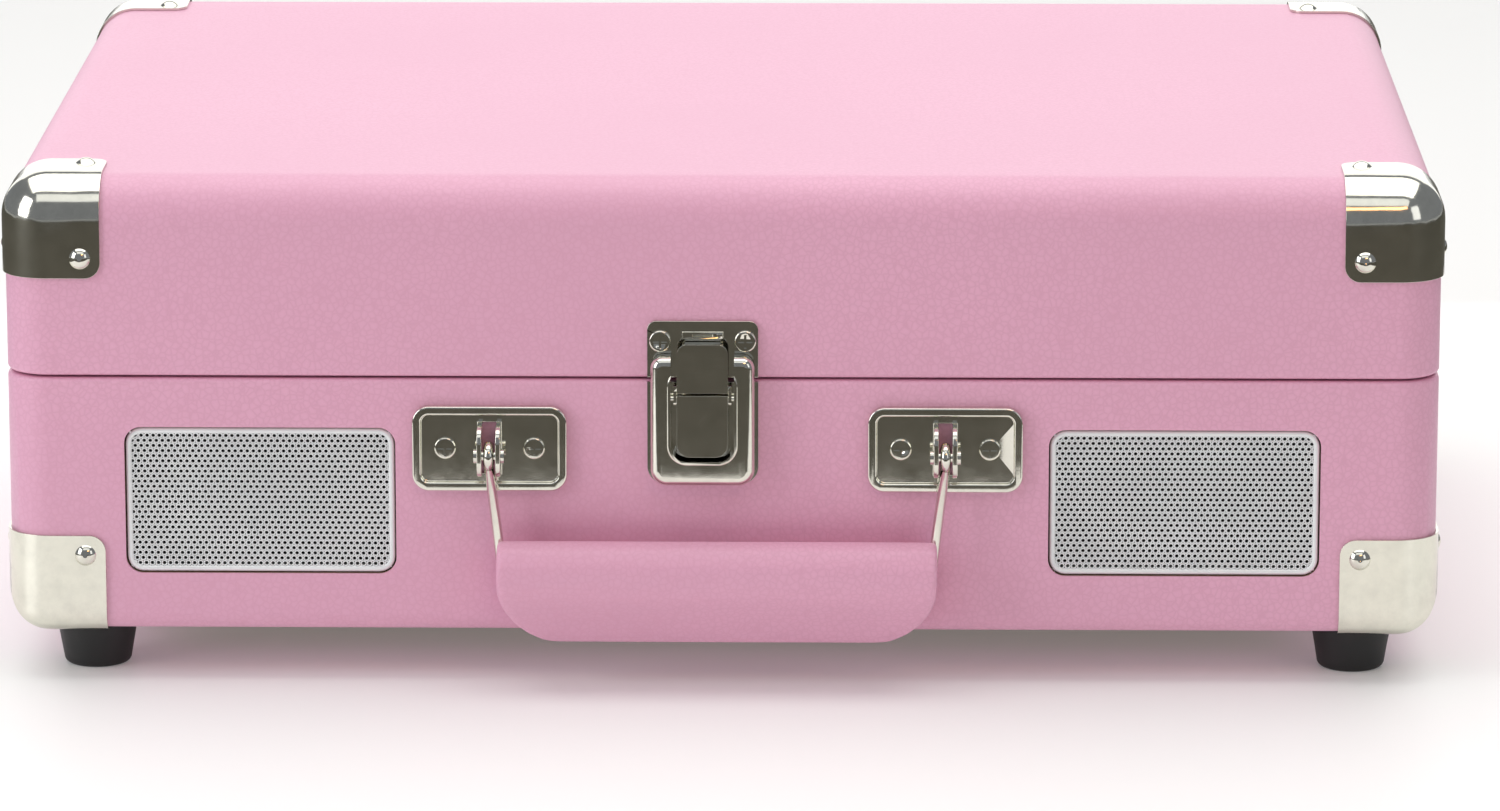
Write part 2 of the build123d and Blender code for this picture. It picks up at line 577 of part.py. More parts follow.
def build_latch():
    catch = front_block(CATCH_WIDTH / 2, 0, CATCH_PLATE, SEAM, SEAM + CATCH_HEIGHT)
    catch = fillet(catch.edges().filter_by(Axis.Y).group_by(Axis.Z)[-1], 2.2)
    hump_bottom = LIP_TOP / 2
    lip_half = HOOK_HALF + 0.6
    catch += front_block(lip_half, CATCH_PLATE, LIP_PROUD, hump_bottom, hump_bottom + 1)
    catch += front_block(lip_half, LIP_PROUD - LIP_SHEET, LIP_PROUD, hump_bottom, LIP_TOP)
    catch += front_block(lip_half, CATCH_PLATE, SLOT_LOOP_PROUD, SLOT_LOOP_LOW, SLOT_LOOP_HIGH)
    catch -= front_block(lip_half / 2, CATCH_PLATE, FRAME_PROUD, SLOT_LOOP_LOW + 0.5, SLOT_LOOP_HIGH - 0.5)
    out("latch_catch", catch - [screw_hole(*seat) for seat in CATCH_SEATS])

    body = front_block(FRAME_WIDTH / 2, FRAME_CLEAR, FRAME_PROUD, -FRAME_BOTTOM, FRAME_TOP)
    body = fillet(body.edges().filter_by(Axis.Y).group_by(Axis.Z)[0], 4.0)
    body = fillet(body.edges().filter_by(Axis.Y).group_by(Axis.Z)[-1], 3.0)
    body = fillet(body.faces().sort_by(Axis.Y)[0].edges(), 2.2)
    bead = front_block(WINDOW_HALF + BEAD, FRAME_CLEAR, BEAD_PROUD, -WINDOW_BOTTOM - BEAD, FRAME_TOP - 2.4)
    bead = fillet(bead.edges().filter_by(Axis.Y), 4.0 + BEAD)
    bead = fillet(bead.faces().sort_by(Axis.Y)[0].edges(), 0.4)
    window = front_block(WINDOW_HALF, 0, 2 * FRAME_PROUD, -WINDOW_BOTTOM, 2 * FRAME_TOP)
    window = fillet(window.edges().filter_by(Axis.Y).group_by(Axis.Z)[0], 4.0)
    seat = front_block(FRAME_WIDTH / 2 + 0.9, 0, FRAME_PLATE, -FRAME_BOTTOM - 0.4, -SEAM)
    seat = fillet(seat.edges().filter_by(Axis.Y).group_by(Axis.Z)[0], 4.4)
    skirt = front_block(FRAME_WIDTH / 2, FRAME_PLATE, FRAME_CLEAR, -FRAME_BOTTOM, -SEAM)
    skirt = fillet(skirt.edges().filter_by(Axis.Y).group_by(Axis.Z)[0], 4.0)
    lever_y, lever_z = FRONT - LEVER_PIN_PROUD, SEAM_Z - LEVER_PIN_BELOW
    pin_length = 2 * WINDOW_HALF + 4
    frame = (body + bead - window) + (skirt - window) + seat
    out(
        "latch_frame", frame - along_x(
            LATCH_PIN + CLOSE_FIT, pin_length + 2 * CLOSE_FIT, LATCH_X, lever_y, lever_z
        )
    )
    out("latch_pin", along_x(LATCH_PIN, pin_length, LATCH_X, lever_y, lever_z))

    half = TONGUE_WIDTH / 2
    back = TONGUE_PROUD - TONGUE_SHEET
    hasp_y, hasp_z = lever_y - HASP_PIN_OUT, lever_z - HASP_PIN_DOWN
    lever = front_block(half, back, TONGUE_PROUD, -LEVER_BOTTOM, -LEVER_TOP)
    lever = fillet(lever.edges().filter_by(Axis.Y).group_by(Axis.Z)[0], 3.2)
    eye = LATCH_PIN + 1.0
    for side in SIDES.values():
        cheek_x = LATCH_X + side * (half - CHEEK_SHEET / 2)
        lever += front_block(
            CHEEK_SHEET / 2, LEVER_PIN_PROUD, TONGUE_PROUD - TONGUE_SHEET / 2,
            -LEVER_PIN_BELOW - eye, -LEVER_TOP, cheek_x,
        )
        lever += along_x(eye, CHEEK_SHEET, cheek_x, lever_y, lever_z)
    arm_x = half + GAP / 2 + HASP_ARM / 2
    hasp_pin_length = 2 * arm_x + HASP_ARM
    lever -= along_x(LATCH_PIN + RUNNING, FRAME_WIDTH, LATCH_X, lever_y, lever_z)
    lever -= along_x(HASP_PIN + CLOSE_FIT, hasp_pin_length + 2 * CLOSE_FIT, LATCH_X, hasp_y, hasp_z)
    out("latch_lever", lever, along_x(HASP_PIN, hasp_pin_length, LATCH_X, hasp_y, hasp_z))

    hasp = front_block(half, back, TONGUE_PROUD, -HASP_BOTTOM, HASP_TOP)
    hasp = fillet(hasp.edges().filter_by(Axis.Y).group_by(Axis.Z)[-1], 2.6)
    hook_back = LIP_PROUD - LIP_SHEET - HOOK_GAP - HOOK_SHEET
    hasp += front_block(HOOK_HALF, hook_back, back, LIP_TOP + GAP, HASP_TOP - 0.2)
    hasp += front_block(HOOK_HALF, hook_back, hook_back + HOOK_SHEET, LIP_TOP - HOOK_GRIP, HASP_TOP - 0.2)
    pin_proud = LEVER_PIN_PROUD + HASP_PIN_OUT
    pin_below = LEVER_PIN_BELOW + HASP_PIN_DOWN
    hasp += front_block(
        arm_x + HASP_ARM / 2, pin_proud - HASP_ARM_HALF, back, -HASP_BOTTOM + GAP, -HASP_BOTTOM + 1.5
    )
    for side in SIDES.values():
        x = LATCH_X + side * arm_x
        hasp += front_block(
            HASP_ARM / 2, pin_proud - HASP_ARM_HALF, pin_proud + HASP_ARM_HALF, -pin_below,
            -HASP_BOTTOM + 1.5, x
        )
        hasp += along_x(HASP_ARM_HALF, HASP_ARM, x, hasp_y, hasp_z)
    out("latch_hasp", hasp - along_x(HASP_PIN + CLOSE_FIT, FRAME_WIDTH, LATCH_X, hasp_y, hasp_z))


# ---------------------------------------------------------------- deck: sizes
DECK_BELOW_RIM = 8.0
DECK = 3.0                  # moulded plate
DECK_CLEAR = 0.4            # round the deck's edge
DECK_TOP = RIM - DECK_BELOW_RIM
DECK_UNDER = DECK_TOP - DECK
WELL_DEPTH = 4.0            # round well for the belt
WELL_FLOOR = DECK_TOP - WELL_DEPTH
WELL_UNDER = WELL_FLOOR - DECK
POST = 14.0                 # square wooden posts in the base's corners
POST_X = INNER_WIDTH / 2 - POST / 2
POST_Y = INNER_DEPTH / 2 - POST / 2
POSTS_AT = [(side * POST_X, MIDDLE + end * POST_Y) for side in SIDES.values() for end in ENDS.values()]

# ---------------------------------------------------------------- platter and drive: sizes
SPINDLE_X = -40.0
SPINDLE_Y = MIDDLE - 18.0
PLATTER_RADIUS = 98.0
PLATTER_CLEAR = 1.5         # over the deck
PLATTER_RIM = 9.0           # height of the platter's outer rim
PLATTER_WALL = 2.5
HUB_RADIUS = 9.0
MAT = 1.2
RING_RADIUS = 52.0          # drive ring under the platter
RING_WALL = 3.0
PULLEY_RADIUS = 5.0
PULLEY_REACH = 68.0         # from the spindle to the motor's shaft
PULLEY_ANGLE = 135.0
BELT = 1.0
BELT_WIDTH = 5.0
MOTOR_RADIUS = 16.0
MOTOR_HEIGHT = 22.0
MOTOR_SHAFT = 1.0
SPINDLE_PIN = 3.6           # radius that fits a record's hole
SPINDLE_NECK = 3.4          # inside the mat, a little under the pin
SPINDLE_COLLAR = 5.0
SPINDLE_SHAFT = 3.0
SPINDLE_PROUD = 9.0         # over the mat
BEARING_LENGTH = 17.0
WELL_RADIUS = PULLEY_REACH + PULLEY_RADIUS + 3 * BELT
PLATTER_TOP = DECK_TOP + PLATTER_CLEAR + PLATTER_RIM
MAT_TOP = PLATTER_TOP + MAT
MOTOR_X = SPINDLE_X + PULLEY_REACH * cos(radians(PULLEY_ANGLE))
MOTOR_Y = SPINDLE_Y + PULLEY_REACH * sin(radians(PULLEY_ANGLE))
BELT_LOW = WELL_FLOOR + 2.0

# ---------------------------------------------------------------- tonearm: sizes
ARM_X = 122.0
ARM_Y = MIDDLE + 72.0
ARM_OVER_MAT = 12.0
ARM_Z = MAT_TOP + ARM_OVER_MAT
ARM_TUBE = 3.0
ARM_STRAIGHT = 148.0        # from the pivot to the bend
ARM_CRANKED = 42.0          # from the bend to the stylus
ARM_CRANK = 20.0            # degrees
ARM_BASE_RADIUS = 17.0
ARM_BASE_HEIGHT = 14.7
ARM_SHAFT = 4.0
YOKE_RADIUS = 14.0
YOKE_EAR = 3.0
YOKE_INSIDE = 10.0
ARM_PIN = 1.2
COUNTERWEIGHT_RADIUS = 7.0
COUNTERWEIGHT_FROM = 20.0   # behind the pivot
COUNTERWEIGHT_LENGTH = 18.0
LIFTER_REACH = 28.0         # from the arm's swing axis
LIFTER_STEM = 2.0
LIFTER_ANGLE = 22.0         # the stem's place along the arm's swing
LIFTER_SWEEP = 52.0         # the bar's length along the swing
LIFTER_RISE = LIFTER_REACH * sin(radians(ARM_SLOPE)) / cos(radians(ARM_SLOPE))
REST_FORWARD = 100.0        # the arm rest, in front of the pivot
CUE_X = ARM_X + 21.0        # the cue lever's hub
CUE_Z = DECK_TOP + 9.0
CUE_LENGTH = 22.0
STYLUS_OVER_MAT = 2.0

# ---------------------------------------------------------------- controls: sizes
CONTROL_X = 152.0
KNOBS = {"volume": -95.0, "tone": -66.0}    # in front of the middle
KNOB_RADIUS = 9.5
KNOB_HEIGHT = 11.0
KNOB_SHAFT = 3.0
PHONES_BEHIND = -40.0
LAMP_BEHIND = -114.0
LAMP_RADIUS = 2.0
JACK_BORE = 1.8             # radius of a 3.5 mm socket
JACK_BARREL = 4.0
SWITCHES = {"speed": (72.0, 8.0), "autostop": (97.0, 6.0)}   # place along X and travel
SWITCH_BEHIND = 111.0
BUTTON_LENGTH = 6.0
BUTTON_WIDTH = 3.6
BUTTON_FOOT = 1.2           # how much wider the button's foot is, each side
ADAPTER_X = -138.0
ADAPTER_Y = MIDDLE + 94.0
ADAPTER_RADIUS = 19.0


# ---------------------------------------------------------------- deck
def build_deck():
    deck = inside(DECK_UNDER, DECK_TOP, DECK_CLEAR)
    deck += post(WELL_RADIUS + DECK, WELL_UNDER, DECK_UNDER, SPINDLE_X, SPINDLE_Y)
    deck -= post(WELL_RADIUS, WELL_FLOOR, DECK_TOP + 1, SPINDLE_X, SPINDLE_Y)
    deck -= post(SPINDLE_COLLAR + 1 + CLOSE_FIT, WELL_UNDER - 1, DECK_TOP, SPINDLE_X, SPINDLE_Y)
    deck -= post(PULLEY_RADIUS, WELL_UNDER - 1, DECK_TOP, MOTOR_X, MOTOR_Y)
    deck += post(ADAPTER_RADIUS + DECK, DECK_UNDER - DECK, DECK_UNDER, ADAPTER_X, ADAPTER_Y)
    deck -= post(ADAPTER_RADIUS + GAP, DECK_UNDER, DECK_TOP + 1, ADAPTER_X, ADAPTER_Y)
    deck -= post(2 * ARM_SHAFT + CLOSE_FIT, DECK_UNDER - 1, DECK_TOP + 1, ARM_X, ARM_Y)
    for behind in KNOBS.values():
        deck -= post(KNOB_SHAFT + GAP, DECK_UNDER - 1, DECK_TOP + 1, CONTROL_X, MIDDLE + behind)
    deck -= post(JACK_BARREL + CLOSE_FIT, DECK_UNDER - 1, DECK_TOP + 1, CONTROL_X, MIDDLE + PHONES_BEHIND)
    deck -= post(LAMP_RADIUS + CLOSE_FIT, DECK_UNDER - 1, DECK_TOP + 1, CONTROL_X, MIDDLE + LAMP_BEHIND)
    for x, travel in SWITCHES.values():
        deck -= block(
            x - BUTTON_LENGTH / 2 - GAP, x + BUTTON_LENGTH / 2 + travel + GAP,
            MIDDLE + SWITCH_BEHIND - BUTTON_WIDTH / 2 - GAP,
            MIDDLE + SWITCH_BEHIND + BUTTON_WIDTH / 2 + GAP,
            DECK_UNDER - 1, DECK_TOP + 1,
        )
    seats = [((x, y, DECK_TOP), (0, 0, 1)) for x, y in POSTS_AT]
    holes = [screw_hole(*seat) for seat in seats]
    out("deck_plate", deck - holes)
    posts = [
        block(
            x - POST / 2, x + POST / 2, y - POST / 2, y + POST / 2, FLOOR_TOP, DECK_UNDER
        ) for x, y in POSTS_AT
    ]
    hollow = inside(FLOOR_TOP, DECK_UNDER, CLOSE_FIT)
    out("corner_posts", *[(shape & hollow) - holes for shape in posts])
    out("inner_screws", *[small_screw(*seat) for seat in seats + SPEAKER_SEATS])


# ---------------------------------------------------------------- speakers
def inward(outline, x, z, depth, taper=0.0):
    """An outline on the front wall's inner face, raised towards the back."""
    plane = Plane((x, FRONT + INSET, z), x_dir=(1, 0, 0), z_dir=(0, -1, 0))
    return extrude(plane * outline, amount=-depth, taper=taper)


def build_speakers():
    pieces, grilles = [], []
    for x in SPEAKERS_AT:
        flange = inward(SlotOverall(SPEAKER_LENGTH, SPEAKER_WIDTH), x, SPEAKER_Z, SPEAKER_FLANGE)
        basket = inward(SlotOverall(SPEAKER_LENGTH - 20, SPEAKER_WIDTH - 5), x, SPEAKER_Z, BASKET_DEPTH, 25)
        hollow = inward(
            SlotOverall(SPEAKER_LENGTH - 23, SPEAKER_WIDTH - 8), x, SPEAKER_Z, BASKET_DEPTH - 3, 25
        )
        magnet_face = FRONT + INSET + BASKET_DEPTH
        magnet = along_y(MAGNET_RADIUS, magnet_face, magnet_face + MAGNET_DEPTH, x, SPEAKER_Z)
        cone = inward(
            SlotOverall(SPEAKER_LENGTH - 24, SPEAKER_WIDTH - 9), x, SPEAKER_Z, BASKET_DEPTH - 4, 25
        )
        cone -= inward(
            SlotOverall(SPEAKER_LENGTH - 26, SPEAKER_WIDTH - 11), x, SPEAKER_Z, BASKET_DEPTH - 5, 25
        )
        frame = flange + basket - hollow
        pieces += [frame - [screw_hole(*seat) for seat in SPEAKER_SEATS], magnet, cone]
        outer = RectangleRounded(GRILLE_WIDTH, GRILLE_HEIGHT, GRILLE_RADIUS)
        inner = RectangleRounded(
            GRILLE_WIDTH - 2 * GRILLE_SHEET, GRILLE_HEIGHT - 2 * GRILLE_SHEET, GRILLE_RADIUS - GRILLE_SHEET
        )
        face, back = FRONT + GRILLE_SUNK, FRONT + INSET - CLOSE_FIT
        grilles.append(
            facing(outer, x, SPEAKER_Z, back, face) - facing(inner, x, SPEAKER_Z, back, face + GRILLE_SHEET)
        )
    out("speakers", *pieces)
    out("speaker_grilles", *grilles)


# ---------------------------------------------------------------- platter and drive
def turned(points, x, y):
    """A ring or disc turned from its half section, given as radius and height."""
    return Pos(x, y, 0) * revolve(Plane.XZ * make_face(Polyline(*points, close=True)), Axis.Z)


def build_platter():
    ring_bottom = WELL_FLOOR + 1.5
    under = PLATTER_TOP - PLATTER_WALL
    rim_bottom = DECK_TOP + PLATTER_CLEAR
    bore = SPINDLE_COLLAR + CLOSE_FIT
    platter = turned(
        [
            (bore, PLATTER_TOP), (PLATTER_RADIUS, PLATTER_TOP), (PLATTER_RADIUS, rim_bottom),
            (PLATTER_RADIUS - PLATTER_WALL, rim_bottom), (PLATTER_RADIUS - PLATTER_WALL, under),
            (RING_RADIUS, under), (RING_RADIUS, ring_bottom), (RING_RADIUS - RING_WALL, ring_bottom),
            (RING_RADIUS - RING_WALL, under), (HUB_RADIUS, under), (HUB_RADIUS, rim_bottom), (
                bore, rim_bottom
            ),
        ],
        SPINDLE_X, SPINDLE_Y,
    )
    platter = fillet(platter.edges().group_by(Axis.Z)[-1].sort_by(SortBy.LENGTH)[-1], 1.5)
    out("platter", platter)
    mat_radius = PLATTER_RADIUS - 1.5
    mat = post(mat_radius, PLATTER_TOP, MAT_TOP, SPINDLE_X, SPINDLE_Y)
    out("slipmat", mat - post(SPINDLE_PIN + GAP, PLATTER_TOP, MAT_TOP, SPINDLE_X, SPINDLE_Y))
    top = MAT_TOP + SPINDLE_PROUD
    shaft_bottom = WELL_UNDER - BEARING_LENGTH + 3
    spindle = post(SPINDLE_PIN, MAT_TOP + GAP, top, SPINDLE_X, SPINDLE_Y)
    spindle = fillet(spindle.edges().group_by(Axis.Z)[-1], SPINDLE_PIN / 2)
    spindle += post(SPINDLE_NECK, PLATTER_TOP, MAT_TOP + GAP, SPINDLE_X, SPINDLE_Y)
    spindle += post(SPINDLE_COLLAR, rim_bottom, PLATTER_TOP, SPINDLE_X, SPINDLE_Y)
    spindle += post(SPINDLE_SHAFT, shaft_bottom, rim_bottom, SPINDLE_X, SPINDLE_Y)
    out("spindle", spindle)
    bearing = post(2 * SPINDLE_SHAFT + 2, WELL_UNDER - BEARING_LENGTH, WELL_UNDER, SPINDLE_X, SPINDLE_Y)
    bearing += post(4 * SPINDLE_SHAFT + 2, WELL_UNDER - 2.5, WELL_UNDER, SPINDLE_X, SPINDLE_Y)
    bearing += post(SPINDLE_COLLAR + 1, WELL_UNDER, rim_bottom - GAP, SPINDLE_X, SPINDLE_Y)
    bearing -= post(SPINDLE_SHAFT + RUNNING, shaft_bottom - GAP, rim_bottom, SPINDLE_X, SPINDLE_Y)
    out("spindle_bearing", bearing)

    def belt_loop(grow):
        ring = Pos(SPINDLE_X, SPINDLE_Y) * Circle(RING_RADIUS + grow)
        wheel = Pos(MOTOR_X, MOTOR_Y) * Circle(PULLEY_RADIUS + grow)
        return make_hull(ring.edges() + wheel.edges())

    belt = belt_loop(CLOSE_FIT + BELT) - belt_loop(CLOSE_FIT)
    out("drive_belt", upright(belt, BELT_LOW, BELT_LOW + BELT_WIDTH))
    can_top = WELL_UNDER - CLOSE_FIT
    motor = post(MOTOR_RADIUS, can_top - MOTOR_HEIGHT, can_top, MOTOR_X, MOTOR_Y)
    motor = fillet(motor.edges(), 1.5)
    motor += post(MOTOR_SHAFT, can_top, BELT_LOW + BELT_WIDTH + 1.5, MOTOR_X, MOTOR_Y)
    motor += post(3 * MOTOR_SHAFT, can_top, WELL_FLOOR, MOTOR_X, MOTOR_Y)
    out("motor", motor)
    pulley = post(PULLEY_RADIUS, BELT_LOW, BELT_LOW + BELT_WIDTH, MOTOR_X, MOTOR_Y)
    pulley += post(
        PULLEY_RADIUS + BELT, BELT_LOW + BELT_WIDTH + GAP, BELT_LOW + BELT_WIDTH + 1, MOTOR_X, MOTOR_Y
    )
    pulley += post(PULLEY_RADIUS - 1, BELT_LOW + BELT_WIDTH, BELT_LOW + BELT_WIDTH + GAP, MOTOR_X, MOTOR_Y)
    for turn in (0, 120, 240):
        pulley -= post(
            0.8, WELL_FLOOR, PLATTER_TOP, MOTOR_X + 3 * cos(radians(turn)), MOTOR_Y + 3 * sin(radians(turn))
        )
    out("motor_pulley", pulley - post(MOTOR_SHAFT + RUNNING, WELL_FLOOR, PLATTER_TOP, MOTOR_X, MOTOR_Y))
    adapter = post(ADAPTER_RADIUS, DECK_UNDER, DECK_UNDER + 6, ADAPTER_X, ADAPTER_Y)
    adapter = fillet(adapter.edges().group_by(Axis.Z)[-1], 1.5)
    out(
        "single_adapter", adapter - post(
            SPINDLE_PIN + CLOSE_FIT, DECK_UNDER, DECK_TOP + 5, ADAPTER_X, ADAPTER_Y
        )
    )


# ---------------------------------------------------------------- tonearm
CLIP_OPEN = 120.0           # the clip stands open by this much


def build_arm():
    base_top = DECK_TOP + ARM_BASE_HEIGHT
    base = post(ARM_BASE_RADIUS, DECK_TOP, base_top, ARM_X, ARM_Y)
    base = fillet(base.edges().group_by(Axis.Z)[-1], 1.5)
    base += post(2 * ARM_SHAFT, DECK_UNDER - 6, DECK_TOP, ARM_X, ARM_Y)
    stem_turn = radians(270 - LIFTER_ANGLE)
    stem_x, stem_y = ARM_X + LIFTER_REACH * cos(stem_turn), ARM_Y + LIFTER_REACH * sin(stem_turn)
    guide_top = DECK_TOP + 0.7 * ARM_BASE_HEIGHT
    base += post(2.5 * LIFTER_STEM, DECK_TOP, guide_top, stem_x, stem_y)
    bridge = Pos(ARM_X, ARM_Y, DECK_TOP + 3) * Rot(0, 0, degrees(stem_turn)) * Pos(LIFTER_REACH / 2, 0, 0)
    base += bridge * Box(LIFTER_REACH, 4 * LIFTER_STEM, 6)
    base += block(ARM_X + ARM_BASE_RADIUS - 5, CUE_X - 2, ARM_Y - 5, ARM_Y + 5, DECK_TOP, CUE_Z + 4)
    base -= post(ARM_SHAFT + RUNNING, DECK_UNDER - 4, base_top + 1, ARM_X, ARM_Y)
    base -= post(LIFTER_STEM + RUNNING, DECK_TOP + 1, base_top, stem_x, stem_y)
    pin_length = 5.0
    base -= along_x(1.5 + RUNNING, pin_length + GAP, CUE_X - 2 - (pin_length + GAP) / 2, ARM_Y, CUE_Z)
    out("arm_base", base)

    disc_bottom = base_top + GAP
    yoke = post(YOKE_RADIUS, disc_bottom, disc_bottom + 2.5, ARM_X, ARM_Y)
    yoke += post(ARM_SHAFT, DECK_UNDER - 4 + GAP, disc_bottom, ARM_X, ARM_Y)
    ear_x = (YOKE_INSIDE + YOKE_EAR) / 2
    for side in SIDES.values():
        x = ARM_X + side * ear_x
        ear = block(x - YOKE_EAR / 2, x + YOKE_EAR / 2, ARM_Y - 5, ARM_Y + 5, disc_bottom, ARM_Z + 4)
        yoke += fillet(ear.edges().filter_by(Axis.X).group_by(Axis.Z)[-1], 3)
    pin_half = YOKE_INSIDE / 2 + YOKE_EAR
    yoke -= along_x(ARM_PIN + CLOSE_FIT, 2 * pin_half + 1, ARM_X, ARM_Y, ARM_Z)
    out("arm_yoke", yoke, along_x(ARM_PIN, 2 * pin_half, ARM_X, ARM_Y, ARM_Z))

    bend = Vector(ARM_X, ARM_Y - ARM_STRAIGHT, ARM_Z)
    heading = Vector(-sin(radians(ARM_CRANK)), -cos(radians(ARM_CRANK)), 0)
    start = Vector(ARM_X, ARM_Y + COUNTERWEIGHT_FROM + 1, ARM_Z)
    tube = swept_wire(FilletPolyline(start, bend, bend + heading * (ARM_CRANKED / 2), radius=12), ARM_TUBE)
    block_width = YOKE_INSIDE - 2 * GAP
    arm = tube + block(
        ARM_X - block_width / 2, ARM_X + block_width / 2, ARM_Y - 5, ARM_Y + 5, ARM_Z - 3.5, ARM_Z + 3.5
    )
    weight_y = ARM_Y + COUNTERWEIGHT_FROM
    weight = along_y(COUNTERWEIGHT_RADIUS, weight_y, weight_y + COUNTERWEIGHT_LENGTH, ARM_X, ARM_Z)
    arm += fillet(weight.edges().filter_by(GeomType.CIRCLE), 1.0)
    stylus = bend + heading * ARM_CRANKED
    cranked = Pos(stylus.X, stylus.Y, 0) * Rot(0, 0, -ARM_CRANK)
    shell = Pos(0, 13, ARM_Z - 0.5) * Box(13, 36, 7)
    shell = fillet(shell.edges().filter_by(Axis.Z), 2.5)
    finger = Pos(9, 2, ARM_Z + 1) * Box(9, 3, 1.6)
    arm += cranked * (shell + finger)
    out("tonearm", arm - along_x(ARM_PIN + RUNNING, YOKE_INSIDE, ARM_X, ARM_Y, ARM_Z))
    shell_bottom = ARM_Z - 4
    tip = MAT_TOP + STYLUS_OVER_MAT
    holder = Pos(0, 6, shell_bottom - 2) * Box(9, 20, 4)
    needle = Pos(0, 0, (tip + shell_bottom - 3) / 2) * Cone(0.2, 1.2, shell_bottom - 3 - tip)
    out("cartridge", cranked * (holder + needle))

    rest_y = ARM_Y - REST_FORWARD
    shelf = ARM_Z - ARM_TUBE - GAP
    outer = ARM_X + ARM_TUBE + 1.0
    rest = post(8, DECK_TOP, DECK_TOP + 3, ARM_X, rest_y) + post(4, DECK_TOP, shelf - 2, ARM_X, rest_y)
    rest += block(ARM_X - 7, outer + 4, rest_y - 4, rest_y + 4, shelf - 3, shelf)
    rest += block(outer, outer + 4, rest_y - 4, rest_y + 4, shelf - 3, ARM_Z)
    hinge_x, hinge_z = outer + 3, ARM_Z + 3
    for end in ENDS.values():
        ear_y = rest_y + end * 3.2
        rest += block(outer + 1.2, outer + 4, ear_y - 0.8, ear_y + 0.8, ARM_Z - 1, hinge_z)
        rest += along_y(1.8, ear_y - 0.8, ear_y + 0.8, hinge_x, hinge_z)
    rest += along_y(0.8, rest_y - 3, rest_y + 3, hinge_x, hinge_z)
    out("arm_rest", rest)
    reach = hinge_x - (ARM_X - ARM_TUBE - 2.0)
    clip = block(-reach, 0, rest_y - 2, rest_y + 2, 0.9, 2.4)
    clip += block(-reach, -reach + 1.5, rest_y - 2, rest_y + 2, -4.0, 2.4)
    clip += along_y(2.0, rest_y - 2, rest_y + 2, 0, 0)
    clip -= along_y(0.8 + RUNNING, rest_y - 3, rest_y + 3, 0, 0)
    out("arm_clip", Pos(hinge_x, 0, hinge_z) * Rot(0, CLIP_OPEN, 0) * clip)

    start_turn = 270 - LIFTER_ANGLE - LIFTER_SWEEP / 2
    line = CenterArc((ARM_X, ARM_Y), LIFTER_REACH, start_turn, LIFTER_SWEEP)
    bar = upright(trace(line, line_width=LIFTER_STEM * 2), shelf - 3, shelf)
    out("cue_lifter", bar + post(LIFTER_STEM, DECK_TOP + 1 + GAP, shelf - 3, stem_x, stem_y))
    lever = along_x(3.5, 4, CUE_X + 0.3, ARM_Y, CUE_Z)
    lever += along_x(1.5, pin_length + 2, CUE_X - 2 - pin_length / 2 + 1, ARM_Y, CUE_Z)
    arm_block = block(CUE_X - 1.7, CUE_X + 2.3, ARM_Y - CUE_LENGTH, ARM_Y, CUE_Z - 1.5, CUE_Z + 1.5)
    lever += fillet(arm_block.edges().filter_by(Axis.X).group_by(Axis.Y)[0], 1.4)
    out("cue_lever", lever)


